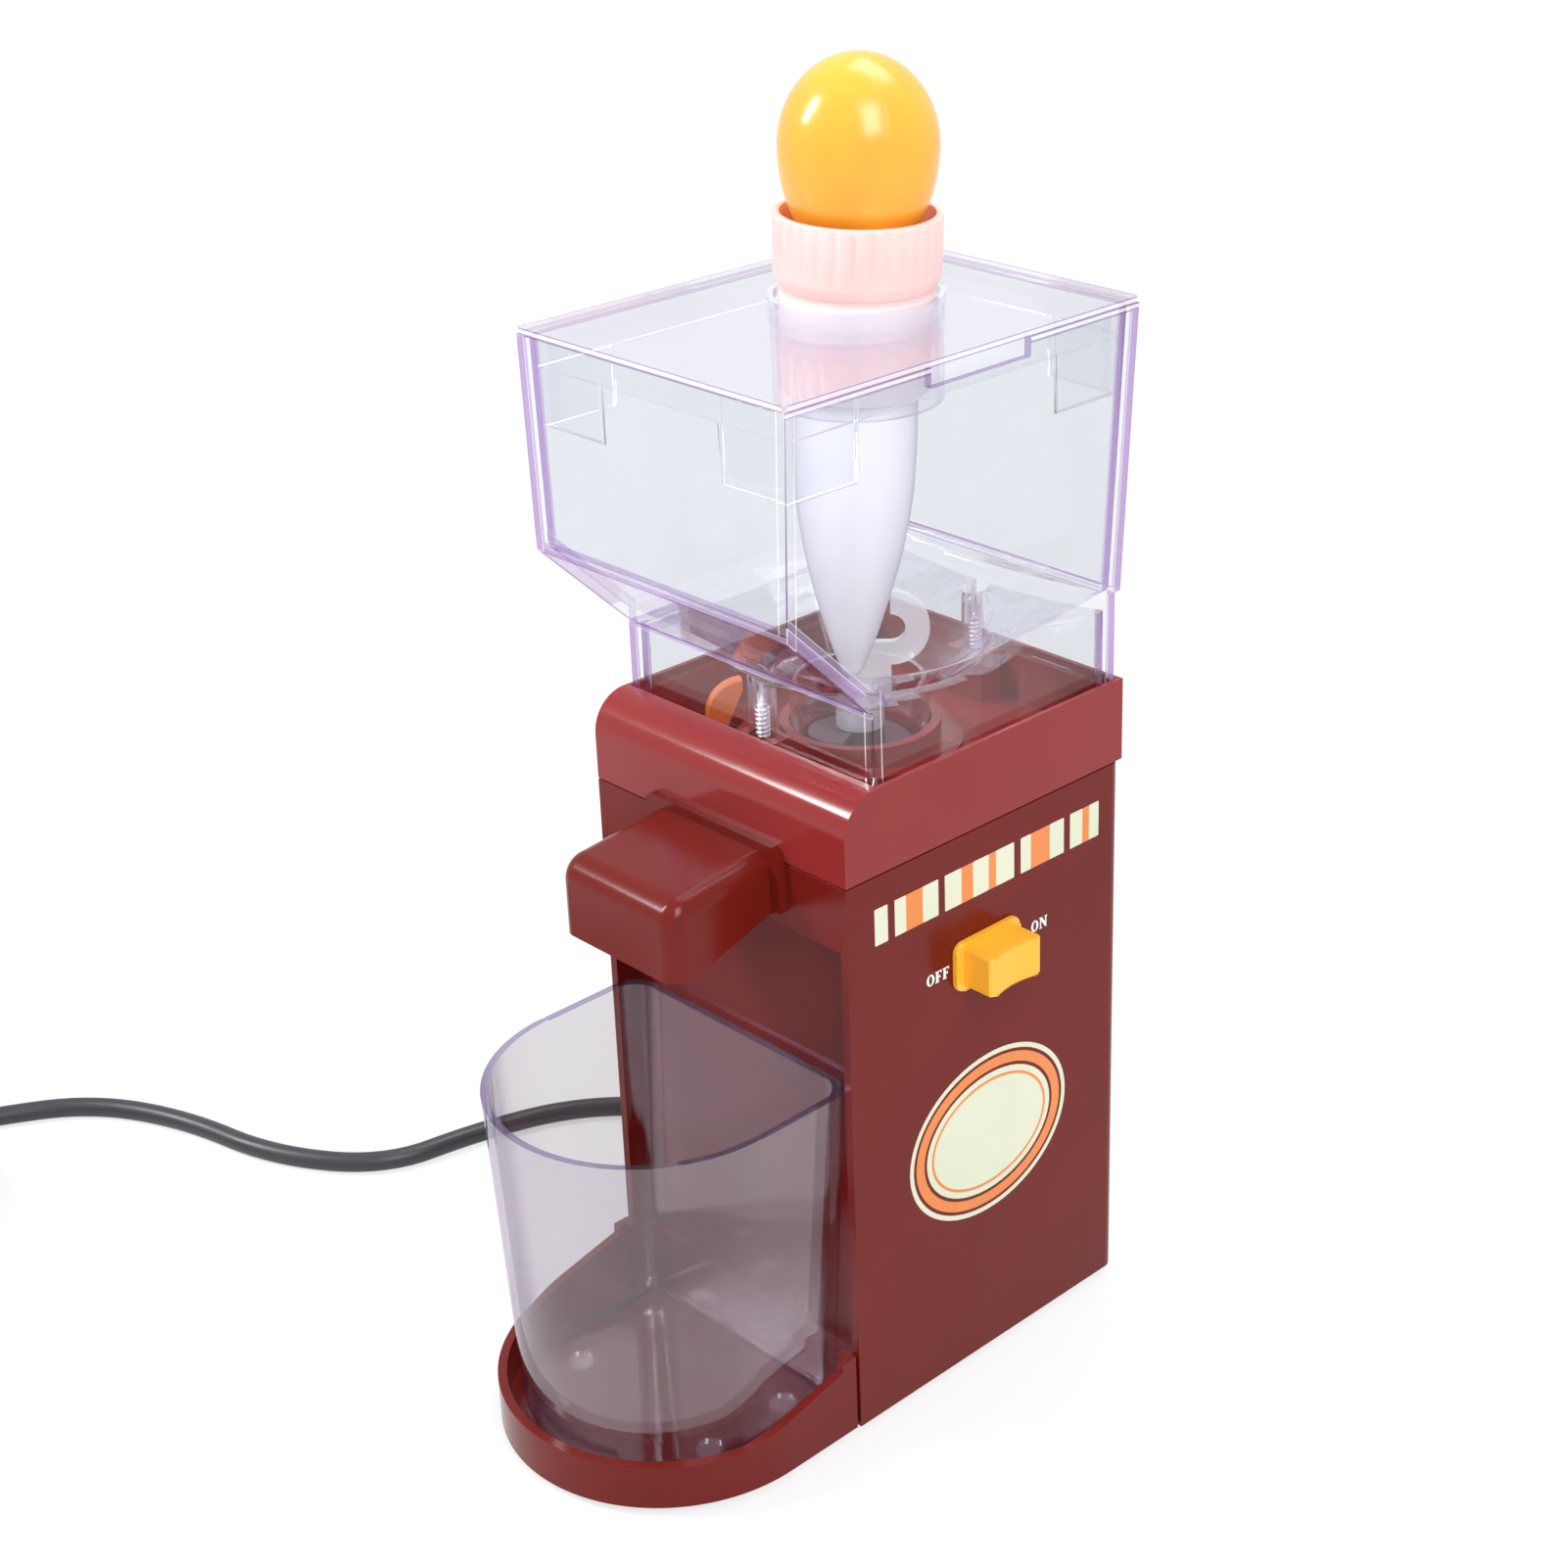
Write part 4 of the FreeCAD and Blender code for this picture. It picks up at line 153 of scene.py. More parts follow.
def clearPlastic(name, tint, edgeTint, mirror, power, shine=(1, 1, 1), rough=0.05, ripple=0.1):
    # See-through plastic: a face passes a little less light, and mirrors more where it is seen edge on
    made = Surface(name)
    facing = made.add("LayerWeight", Blend=0.5).outputs["Facing"]
    through = made.add("BsdfTransparent")
    made.link(made.ramp(facing, 0.55, (*tint, 1), 1.0, (*edgeTint, 1)), through.inputs["Color"])
    wave = made.add("TexNoise", Scale=70.0, Detail=2.0)
    made.link(made.add("TexCoord").outputs["Object"], wave.inputs["Vector"])
    bump = made.add("Bump", Strength=ripple, Distance=0.0004)
    made.link(wave.outputs["Fac"], bump.inputs["Height"])
    gloss = made.add("BsdfAnisotropic", Roughness=rough, Color=(*shine, 1))
    made.link(bump.outputs["Normal"], gloss.inputs["Normal"])
    # the share that is mirrored, the same from both sides of a face
    steep = made.add("Math", operation="POWER")
    steep.inputs[1].default_value = power
    made.link(facing, steep.inputs[0])
    share = made.add("MapRange", To_Min=mirror[0], To_Max=mirror[1])
    made.link(steep.outputs[0], share.inputs["Value"])
    mixed = made.mix(share.outputs["Result"], through, gloss)
    # lamps shine through nearly unchanged
    lamps = made.add("BsdfTransparent", Color=(*[0.5 + value / 2 for value in tint], 1))
    whole = made.mix(made.add("LightPath").outputs["Is Shadow Ray"], mixed, lamps)
    made.link(whole.outputs["Shader"], made.output.inputs["Surface"])
    made.tree.nodes.remove(made.shader)
    return made


def smoothMesh(mesh, angle=35):
    mesh.shade_smooth()
    mesh.set_sharp_from_angle(angle=math.radians(angle))


def addPiece(name, bm, body, surfaces, replaced=(), angle=35, flat=True):
    # A bmesh as a piece that rides on a body
    bmesh.ops.recalc_face_normals(bm, faces=bm.faces)
    mesh = bpy.data.meshes.new(name)
    bm.to_mesh(mesh)
    bm.free()
    smoothMesh(mesh, angle)
    for surface in surfaces:
        mesh.materials.append(surface.material)
    item = bpy.data.objects.new(name, mesh)
    scene.collection.objects.link(item)
    if flat:
        even = item.modifiers.new("evenNormals", "WEIGHTED_NORMAL")
        even.keep_sharp = True
        even.weight = 90
    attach(item, body)
    if replaced:
        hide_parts(*replaced)
    return item


def inMetres(point):
    return point / 1000


def lathe(bm, profile, steps=96, place=inMetres, shape=None):
    # A closed profile (radius, height) in millimetres, turned about the local z; place gives a point's spot
    rings = []
    for step in range(steps):
        angle = 2 * math.pi * step / steps
        ring = []
        for radius, height in profile:
            reach = shape(angle, radius, height) if shape else radius
            point = Vector((reach * math.cos(angle), reach * math.sin(angle), height))
            ring.append(bm.verts.new(place(point)))
        rings.append(ring)
    for here in range(steps):
        first, second = rings[here], rings[(here + 1) % steps]
        for low in range(len(profile)):
            high = (low + 1) % len(profile)
            bm.faces.new((first[low], second[low], second[high], first[high]))
    bmesh.ops.remove_doubles(bm, verts=bm.verts, dist=1e-7)


def curveThrough(points, steps=6):
    # Points of a smooth line through the given (radius, height) corners
    out = []
    for here in range(len(points) - 1):
        before = points[max(here - 1, 0)]
        start, end = points[here], points[here + 1]
        after = points[min(here + 2, len(points) - 1)]
        for step in range(steps):
            t = step / steps
            out.append(tuple(0.5 * (2 * b + (c - a) * t + (2 * a - 5 * b + 4 * c - d) * t * t
                                    + (3 * b - a - 3 * c + d) * t ** 3)
                             for a, b, c, d in zip(before, start, end, after)))
    out.append(tuple(points[-1]))
    return out


def prism(bm, outline, low, high, turn):
    # An outline (a, b) pushed from low to high along the third way; turn maps (a, b, c) to the frame.
    # Gives its low and high faces.
    bottom = [bm.verts.new(turn(a, b, low)) for a, b in outline]
    top = [bm.verts.new(turn(a, b, high)) for a, b in outline]
    count = len(outline)
    for here in range(count):
        after = (here + 1) % count
        bm.faces.new((bottom[here], bottom[after], top[after], top[here]))
    return bm.faces.new(bottom), bm.faces.new(top)


def roundedOutline(low, high, radius, steps=6):
    # Corners of a rectangle from low to high with rounded corners
    out = []
    centres = [(high[0] - radius, high[1] - radius, 0), (low[0] + radius, high[1] - radius, 90),
               (low[0] + radius, low[1] + radius, 180), (high[0] - radius, low[1] + radius, 270)]
    for x, y, start in centres:
        for step in range(steps + 1):
            angle = math.radians(start + 90 * step / steps)
            out.append((x + radius * math.cos(angle), y + radius * math.sin(angle)))
    return out


def roundRim(bm, face, width, segments=3):
    # Rounds the edges all along a face
    bmesh.ops.bevel(bm, geom=list(face.edges), offset=width / 1000, segments=segments, profile=0.5,
                    affect="EDGES", clamp_overlap=True)


finishValues = {
    "casingLight": tone(107, 25, 18),
    "casingDark": tone(101, 22, 16),
    "coverLight": tone(137, 41, 41),
    "coverDark": tone(131, 37, 37),
    "sliderLight": tone(255, 184, 52),
    "sliderDark": tone(252, 172, 44),
    "cream": tone(217, 220, 196),
    "orange": tone(226, 133, 66),
    "bulbLight": tone(255, 178, 60),
    "bulbDark": tone(255, 166, 48),
    "collar": tone(249, 207, 203),
    "milk": tone(252, 251, 254),
    "cord": tone(46, 48, 54),
}
v = finishValues
casing = moulded("casingRed", v["casingLight"], v["casingDark"], (0.17, 0.21), 0.03, Specular_IOR_Level=0.2)
cover = moulded("coverRed", v["coverLight"], v["coverDark"], (0.13, 0.17), 0.015, Specular_IOR_Level=0.3)
steel = moulded("screwSteel", tone(205, 205, 208), tone(185, 185, 190), (0.18, 0.34), 0.1, Metallic=1.0)
darkPlastic = moulded("darkPlastic", tone(44, 43, 45), tone(34, 33, 36), (0.38, 0.5), 0.12)
softFoot = moulded("footRubber", tone(105, 104, 108), tone(86, 86, 90), (0.55, 0.7), 0.2)
whiteNylon = moulded("whiteNylon", tone(236, 236, 230), tone(226, 226, 218), (0.4, 0.5), 0.08)
mauveNylon = moulded("mauveNylon", tone(104, 78, 84), tone(94, 68, 75), (0.35, 0.45), 0.08)
bronze = moulded("bronze", tone(190, 140, 80), tone(170, 120, 66), (0.3, 0.45), 0.1, Metallic=1.0)
burrSteel = moulded("burrSteel", tone(150, 150, 152), tone(120, 120, 124), (0.35, 0.5), 0.3, Metallic=1.0)
motorZinc = moulded("motorZinc", tone(178, 180, 184), tone(160, 162, 167), (0.3, 0.45), 0.15, Metallic=1.0)
magnetDark = moulded("magnetDark", tone(58, 58, 60), tone(44, 44, 46), (0.5, 0.65), 0.3)
copper = moulded("copperWire", tone(190, 104, 60), tone(150, 76, 42), (0.3, 0.45), 0.5, 1400.0, Metallic=1.0)
boardGreen = moulded("boardGreen", tone(40, 112, 62), tone(30, 92, 50), (0.3, 0.4), 0.05)
leverOrange = moulded("leverOrange", tone(232, 120, 48), tone(220, 106, 38), (0.28, 0.36))
sliderYellow = moulded("sliderYellow", v["sliderLight"], v["sliderDark"], (0.3, 0.4), 0.05)
bulbRubber = moulded("bulbRubber", v["bulbLight"], v["bulbDark"], (0.2, 0.3), 0.04,
                     Subsurface_Weight=0.35, Subsurface_Radius=(1.0, 0.5, 0.2), Subsurface_Scale=0.004)
collarPink = moulded("collarPink", v["collar"], tone(246, 197, 193), (0.35, 0.45), 0.05,
                     Subsurface_Weight=0.4, Subsurface_Radius=(1.0, 0.7, 0.6), Subsurface_Scale=0.003)
# painted light: a paler, more neutral copy of the collar's colour for its part under the lid, which lightens
# that part against the lid's shade
collarPaintedLight = moulded("collarPaintedLight", tone(232, 223, 225), tone(228, 217, 220), (0.35, 0.45), 0.05)
# painted glow: the tube gives off light of its own in place of the light that comes through it from behind,
# and its milky wall, a tinted coat, takes up more light that crosses it at a slant
milkTubePaintedGlow = moulded("milkTubePaintedGlow", v["milk"], tone(246, 245, 249), (0.3, 0.4), 0.04,
                   Subsurface_Weight=0.5, Subsurface_Radius=(1.0, 1.0, 1.0), Subsurface_Scale=0.002,
                   Emission_Color=(1, 1, 1, 1), Emission_Strength=0.22,
                   Coat_Weight=1.0, Coat_Roughness=0.3, Coat_IOR=1.02, Coat_Tint=(0.86, 0.85, 0.88, 1))
hookMilk = moulded("hookMilk", tone(250, 250, 252), tone(242, 242, 246), (0.12, 0.2), 0.04, Alpha=0.48)
cordSkin = moulded("cordSkin", v["cord"], tone(38, 40, 46), (0.36, 0.46), 0.1)
clearTints = {
    # tint of a face, tint seen edge on, share that is mirrored face on and edge on, how late the edge share
    # sets in, and, where they aren't plain, the mirrored light's colour and roughness and the wall's ripple
    "hopperClear": ((0.915, 0.926, 0.940), (0.80, 0.76, 0.88), (0.03, 0.75), 4.0),
    "hopperBand": ((0.78, 0.68, 0.87), (0.70, 0.56, 0.82), (0.36, 0.7), 3.0, (0.66, 0.52, 0.80), 0.3),
    "hopperLine": ((0.62, 0.50, 0.70), (0.50, 0.40, 0.62), (0.04, 0.5), 4.0),
    "hopperPale": ((0.98, 0.98, 0.99), (0.95, 0.94, 0.97), (0.55, 0.95), 3.0),
    "hopperCurve": ((0.950, 0.945, 0.965), (0.84, 0.80, 0.92), (0.03, 0.9), 3.6),
    "bossClear": ((0.97, 0.965, 0.98), (0.92, 0.90, 0.95), (0.26, 1.0), 1.3, (0.97, 0.95, 0.99), 0.12),
    "lidClear": ((0.968, 0.972, 0.980), (0.90, 0.88, 0.95), (0.05, 0.75), 4.0),
    "cupClear": ((0.893, 0.884, 0.902), (0.56, 0.49, 0.61), (0.075, 0.7), 4.0, (0.93, 0.89, 0.94), 0.06,
                 0.02),
    "cupFoot": ((0.95, 0.94, 0.96), (0.90, 0.88, 0.93), (0.30, 0.9), 2.0, (0.95, 0.93, 0.96), 0.12, 0.02),
    "cupBand": ((0.62, 0.56, 0.74), (0.44, 0.38, 0.60), (0.12, 0.7), 4.0, (0.66, 0.58, 0.84), 0.2, 0.02),
    "cupLine": ((0.50, 0.45, 0.62), (0.36, 0.30, 0.50), (0.10, 0.4), 4.0, (0.60, 0.54, 0.78), 0.1, 0.02),
}
clear = {name: clearPlastic(name, *row) for name, row in clearTints.items()}
creamPrint = moulded("creamPrint", v["cream"], tone(208, 212, 186), (0.3, 0.4), 0.04)
orangePrint = moulded("orangePrint", v["orange"], tone(218, 124, 58), (0.3, 0.4), 0.04)
letterWhite = moulded("letterWhite", tone(240, 240, 238), tone(232, 232, 230), (0.3, 0.4), 0.03)
darkPrint = moulded("darkPrint", tone(70, 22, 20), tone(60, 18, 16), (0.3, 0.4), 0.04)
print("finishes done")

cordValues = {
    "radius": 3.1,
    "route": [
        (-22, 129.6, 20), (-22, 146, 20), (-25, 164, 13.5), (-33, 179, 6.8), (-48, 191, 3.4), (-70, 196, 3.1),
        (-92, 187, 3.1), (-106, 167, 3.1), (-110, 138, 3.1), (-104, 107, 3.1), (-109, 70, 3.1),
        (-133, 47, 3.1), (-144, 16, 3.1), (-149, -15, 3.1), (-180, -36, 3.1), (-218, -43, 3.1),
        (-249, -59, 3.1), (-266, -86, 3.1), (-275, -108, 3.1), (-281, -131, 3.1)],
    "coilCentre": (-246, -140),
    "outer": 36.6,
    "inner": 30.2,
    "low": 3.1,
    "high": 9.3,
    # degrees gone round the coil: where it begins and ends, and where it goes in, up and out again, so that
    # each turn lies beside or on another
    "coil": (165.4, 1350),
    "inwards": (295, 357),
    "upwards": (582, 655),
    "outwards": (770, 900),
    "pointsPerTurn": 16,
    # steps along x, and heights, of the tail that leaves beside the coil for the plug
    "tailSide": -36.1,
    "tail": [(9, 9.3), (24, 7.1), (30, 6.75)],
}
tieValues = {"at": 200, "reach": 6.3, "low": 0.05, "high": 12.5, "corner": 3.0, "width": 7.0, "thick": 0.7}


def between(value, low, high):
    part = min(max((value - low) / (high - low), 0), 1)
    return part * part * (3 - 2 * part)


def makeCord(v):
    points = [Vector(point) for point in v["route"]]
    x, y = v["coilCentre"]
    first, last = v["coil"]
    count = int((last - first) * v["pointsPerTurn"] / 360)
    for number in range(1, count + 1):
        gone = number * (last - first) / (count + 1)
        inward = between(gone, *v["inwards"]) - between(gone, *v["outwards"])
        radius = v["outer"] + (v["inner"] - v["outer"]) * inward
        height = v["low"] + (v["high"] - v["low"]) * between(gone, *v["upwards"])
        angle = math.radians(first + gone)
        points.append(Vector((x + radius * math.cos(angle), y + radius * math.sin(angle), height)))
    points += [Vector((x + step, y + v["tailSide"], height)) for step, height in v["tail"]]
    data = bpy.data.curves.new("lead", "CURVE")
    data.dimensions = "3D"
    line = data.splines.new("NURBS")
    line.points.add(len(points) - 1)
    for item, point in zip(line.points, points):
        item.co = (*spot(*point), 1)
    line.order_u = 3
    line.use_endpoint_u = True
    line.resolution_u = 8
    data.bevel_depth = v["radius"] / 1000
    data.bevel_resolution = 6
    data.use_fill_caps = True
    item = bpy.data.objects.new("lead", data)
    scene.collection.objects.link(item)
    data.materials.append(cordSkin.material)
    return item


def makeTie(v, coil):
    # A soft band that holds the coil's turns together
    bm = bmesh.new()
    x, y = coil["coilCentre"]
    middle = (coil["outer"] + coil["inner"]) / 2
    turn = math.radians(v["at"])
    loops = []
    for grow in (0.0, v["thick"]):
        reach = v["reach"] + grow
        outline = roundedOutline((middle - reach, v["low"]), (middle + reach, v["high"] + grow), v["corner"])
        for side in (-v["width"] / 2, v["width"] / 2):
            loops.append([bm.verts.new(spot(x + a * math.cos(turn) - side * math.sin(turn),
                                            y + a * math.sin(turn) + side * math.cos(turn), b))
                          for a, b in outline])
    order = (0, 1, 3, 2)
    for here in range(4):
        first, second = loops[order[here]], loops[order[(here + 1) % 4]]
        for number in range(len(first)):
            after = (number + 1) % len(first)
            bm.faces.new((first[number], first[after], second[after], second[number]))
    return addPiece("coilTie", bm, "root", (darkPlastic,), angle=40)


lead = makeCord(cordValues)
tie = makeTie(tieValues, cordValues)
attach(lead, "root")
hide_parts("cord", "cord_coil", "cord_tail")
print("cord done")


nodeFinish = {
    "tower_shell": casing, "front_panel": casing, "top_cover": cover, "base_plate": casing, "spout": casing,
    "cup_tray": casing, "feet": softFoot, "base_screws": steel, "spout_screws": steel,
    "hopper_screws": steel, "deck_screws": steel, "switch_slider": sliderYellow, "switch_body": darkPlastic,
    "hopper": clear["hopperClear"], "hopper_lid": clear["lidClear"], "cup": clear["cupClear"],
    "dropper_bulb": bulbRubber, "dropper_collar": collarPink, "dropper_body": milkTubePaintedGlow,
    "adjust_ring": leverOrange, "fixed_burr": burrSteel, "rotor_burr": burrSteel, "feed_screw": mauveNylon,
    "agitator": hookMilk, "grinding_chamber": whiteNylon, "main_shaft": steel, "shaft_bushes": bronze,
    "idler_pin": steel, "idler_washers": whiteNylon, "shaft_spacer": whiteNylon,
    "chamber_deck": darkPlastic, "lower_deck": steel, "deck_posts": darkPlastic, "drive_gear": whiteNylon,
    "idler_gear": whiteNylon, "motor_pinion": bronze, "motor_can": motorZinc,
    "motor_end_cap": darkPlastic, "motor_magnets": magnetDark, "motor_armature": copper,
    "motor_shaft": steel, "cooling_fan": darkPlastic, "circuit_board": boardGreen,
    "strain_relief": cordSkin, "cord": cordSkin, "cord_coil": cordSkin, "cord_tail": cordSkin,
    "plug_body": cordSkin, "plug_pins": steel,
}
for name, surface in nodeFinish.items():
    data = nodes[name].data
    data.materials.clear()
    data.materials.append(surface.material)

easeValues = {
    # node: width of its rounds (mm)
    "tower_shell": 0.5, "front_panel": 0.4, "top_cover": 0.7, "base_plate": 0.4, "spout": 0.6,
    "cup_tray": 0.6, "agitator": 0.7, "adjust_ring": 0.5, "strain_relief": 0.6,
    "plug_body": 1.6, "feet": 0.5, "feed_screw": 0.3,
}


def easeNode(name, width):
    # Small rounds on the sharp edges of a solid
    item = nodes[name]
    weld = item.modifiers.new("weld", "WELD")
    weld.merge_threshold = 0.00001
    bevel = item.modifiers.new("round", "BEVEL")
    bevel.width = width / 1000
    bevel.segments = 3
    bevel.limit_method = "ANGLE"
    bevel.angle_limit = math.radians(35)
    bevel.use_clamp_overlap = True
    even = item.modifiers.new("evenNormals", "WEIGHTED_NORMAL")
    even.keep_sharp = True


for name, width in easeValues.items():
    easeNode(name, width)
print("frame pieces dressed")

clearValues = {
    # piece: its node, body and slot; the finishes of its faces, bands, lines, pale parts, curves and round
    # bosses; where pale, violet and pale end beside a corner; the width of its rounded edges; the height
    # under which its lines are pale
    "hopperShell": ("hopper", "root", "clear_hopper",
                    ("hopperClear", "hopperBand", "hopperLine", "hopperPale", "hopperCurve", "bossClear"),
                    (0.22, 2.7, 2.95), 0.3, 0),
    "hopperLid": ("hopper_lid", "lid", "clear_hopper",
                  ("lidClear", "hopperBand", "hopperLine", "hopperPale", "hopperCurve", "hopperCurve"),
                  (), 0.35, 289),
    "jar": ("cup", "cup", "tinted_cup",
            ("cupClear", "cupBand", "cupLine", "cupLine", "cupClear", "cupFoot"),
            (0.3, 1.9, 2.2), 0.3, 0),
}
flatPart, bandPart, linePart, palePart, curvePart, bossPart = range(6)
wallValues = {
    # the hopper's two screw bosses along y, and how far round each and how high its finish goes
    "bosses": (17.4, 96.7), "bossReach": 6, "bossTop": 206,
    # the jar's foot bosses (x, y) in the same way, the height of their soles, and the hair by which these
    # stay above the tray, so that the two faces don't lie in one plane
    "feet": ((27, -36), (27, -10), (-27, -36), (-27, -10)), "footReach": 4.1, "footTop": 8.7,
    "sole": 4.6, "soleGap": 0.05,
    # low and high corner of a box round the finger notch
    "notch": ((46, 31, 285), (49, 67, 289)),
    # the widths of a thin and of a broad face, and the least way round a pale rim
    "thin": 2.6, "broad": 10, "rimRound": 24,
    # degrees from which an edge is sharp or bent, and the shortest edges that get a band or a round
    "sharp": 32, "bent": 0.5, "bandEdge": 12, "roundEdge": 8,
    # how much narrower the bands are along the level folds of the front and back
    "fold": 0.45,
}


def isSharp(edge, shortest):
    if not edge.is_manifold or edge.calc_length() <= shortest / 1000:
        return False
    return edge.calc_face_angle(0) > math.radians(wallValues["sharp"])


def faceWidth(face):
    return 2000 * face.calc_area() / sum(edge.calc_length() for edge in face.edges)


def isBent(edge):
    return edge.is_manifold and (math.radians(wallValues["bent"]) < edge.calc_face_angle(0)
                                 < math.radians(wallValues["sharp"]))


def markFaces(bm, v):
    # Thin rims become pale, and facets of round parts get the finish for curves
    low, high = v["notch"]
    for face in bm.faces:
        around = sum(edge.calc_length() for edge in face.edges)
        sharp = sum(edge.calc_length() for edge in face.edges if isSharp(edge, 0))
        bent = sum(edge.calc_length() for edge in face.edges if isBent(edge))
        place = face.calc_center_median() * 1000 - towerShift
        atNotch = all(low[way] < place[way] < high[way] for way in range(3))
        atFoot = (place.z < v["footTop"]
                  and min(math.dist(place[:2], foot) for foot in v["feet"]) < v["footReach"])
        atBoss = (place.z < v["bossTop"]
                  and min(math.dist(place[:2], (0, y)) for y in v["bosses"]) < v["bossReach"])
        if atNotch and abs(face.normal.x) < 0.5:
            face.material_index = linePart
        elif faceWidth(face) < v["thin"] and sharp > 0.8 * around and around > v["rimRound"] / 1000:
            face.material_index = palePart
        elif atFoot:
            face.material_index = bossPart
        elif bent > 0.4 * around:
            face.material_index = bossPart if atBoss else curvePart
        else:
            face.material_index = flatPart


def cutBands(bm, ends, v):
    # Strips along the corners where two broad walls meet, cut into the walls without changing their shape
    wall = bm.faces.layers.int.new("wall")
    broad = [face for face in bm.faces if faceWidth(face) > v["broad"]]
    lines = {}
    for number, face in enumerate(broad, 1):
        face[wall] = number
        lines[number] = []
        for edge in face.edges:
            narrowest = min(faceWidth(other) for other in edge.link_faces)
            if isSharp(edge, v["bandEdge"]) and narrowest > v["broad"]:
                start, end = (vert.co.copy() for vert in edge.verts)
                inward = face.normal.cross(end - start).normalized()
                if inward.dot(face.calc_center_median() - start) < 0:
                    inward = -inward
                along = (end - start).normalized()
                near = abs(along.z) > 0.9 and start.x > 0 and start.y < 0
                scale = v["fold"] if abs(along.x) > 0.9 else 1
                lines[number].append((start, inward, near, [reach * scale for reach in ends]))
    for number, rows in lines.items():
        for start, inward, near, reaches in rows:
            for reach in reaches:
                parts = [face for face in bm.faces if face[wall] == number]
                edges = list({edge for face in parts for edge in face.edges})
                verts = list({vert for face in parts for vert in face.verts})
                bmesh.ops.bisect_plane(bm, geom=parts + edges + verts, dist=1e-7,
                                       plane_co=start + inward * reach / 1000, plane_no=inward)
    for face in bm.faces:
        if face[wall] and lines[face[wall]]:
            centre = face.calc_center_median()
            for start, inward, near, (edge, band, end) in lines[face[wall]]:
                reach = (centre - start).dot(inward) * 1000
                plain = face.material_index == flatPart
                if 0 < reach < edge or plain and band < reach < end:
                    face.material_index = palePart
                elif plain and 0 < reach < band and not near:
                    face.material_index = bandPart


def makeClear(name, node, body, slot, finishes, ends, width, paleUnder):
    # The solid's own shape, with bands and lines along its edges that show the thickness of the wall
    v = wallValues
    bm = bmesh.new()
    bm.from_mesh(nodes[node].data)
    bmesh.ops.remove_doubles(bm, verts=bm.verts, dist=1e-5)
    bmesh.ops.dissolve_limit(bm, angle_limit=math.radians(0.05), verts=bm.verts, edges=bm.edges)
    for vert in bm.verts:
        if vert.co.z * 1000 < v["sole"]:
            vert.co.z += v["soleGap"] / 1000
    markFaces(bm, v)
    if ends:
        cutBands(bm, ends, v)
    thin = {face for face in bm.faces if face.material_index == palePart and faceWidth(face) < v["thin"]}
    rims = [edge for edge in bm.edges
            if isSharp(edge, v["roundEdge"]) and any(face in thin for face in edge.link_faces)]
    bmesh.ops.bevel(bm, geom=rims, offset=width / 1000, segments=3, profile=0.5, affect="EDGES",
                    clamp_overlap=False, material=linePart)
    for face in bm.faces:
        if face.material_index == linePart and face.calc_center_median().z * 1000 < paleUnder:
            face.material_index = palePart
    addPiece(name, bm, body, [clear[finish] for finish in finishes], (node,), 30)


for name, row in clearValues.items():
    makeClear(name, *row)
print("clear pieces done")

sliderValues = {
    "face": 47.7, "centre": (49.35, 127.4), "edge": 0.6,
    "flange": 1.5, "flangeSize": (24.5, 14.3), "flangeCorner": 3,
    # the grip: its front is hollow and ribbed between round ends
    "length": 19.5, "height": 11, "front": 59.2, "hollow": 1.4, "corner": 1.6,
    "ribs": 14, "ribDepth": 0.16, "ribSteps": 8, "ribFree": 0.6,
    "stem": (8, 5, 9), "stemCorner": 0.5,
}


def makeSlider(v):
    y, z = v["centre"]
    bm = bmesh.new()
    long, tall = (size / 2 for size in v["flangeSize"])
    outline = roundedOutline((y - long, z - tall), (y + long, z + tall), v["flangeCorner"])
    low, high = prism(bm, outline, v["face"], v["face"] + v["flange"], lambda a, b, c: spot(c, a, b))
    roundRim(bm, high, v["edge"])
    half = v["length"] / 2
    ends = half - v["corner"]
    crest = v["front"] - v["ribDepth"]
    front = []
    steps = v["ribs"] * v["ribSteps"]
    for step in range(steps + 1):
        along = -ends + 2 * ends * step / steps
        dip = v["hollow"] * (1 - (along / ends) ** 2)
        rib = v["ribDepth"] * abs(math.sin(math.pi * v["ribs"] * step / steps))
        front.append((crest - dip + (rib if abs(along) < ends - v["ribFree"] else 0), y + along))

    def roundEnd(start, middle):
        angles = [math.radians(start + 15 * step) for step in range(1, 6)]
        return [(crest - v["corner"] + v["corner"] * math.cos(angle), middle + v["corner"] * math.sin(angle))
                for angle in angles]

    base = v["face"] + v["flange"] - 0.3
    outline = ([(base, y - half)] + roundEnd(270, y - ends) + front + roundEnd(0, y + ends)
               + [(base, y + half)])
    grip = bmesh.new()
    low, high = prism(grip, outline, z - v["height"] / 2, z + v["height"] / 2, spot)
    bmesh.ops.bevel(grip, geom=list(low.edges) + list(high.edges), offset=v["edge"] / 1000, segments=3,
                    profile=0.5, affect="EDGES", clamp_overlap=False)
    mesh = bpy.data.meshes.new("grip")
    grip.to_mesh(mesh)
    grip.free()
    bm.from_mesh(mesh)
    bpy.data.meshes.remove(mesh)
    length, height, reach = v["stem"]
    outline = roundedOutline((y - length / 2, z - height / 2), (y + length / 2, z + height / 2),
                             v["stemCorner"], 3)
    prism(bm, outline, v["face"] - reach, v["face"] + 0.2, lambda a, b, c: spot(c, a, b))
    addPiece("switchSlider", bm, "slider", (sliderYellow,), ("switch_slider",), 40)


makeSlider(sliderValues)
print("slider done")

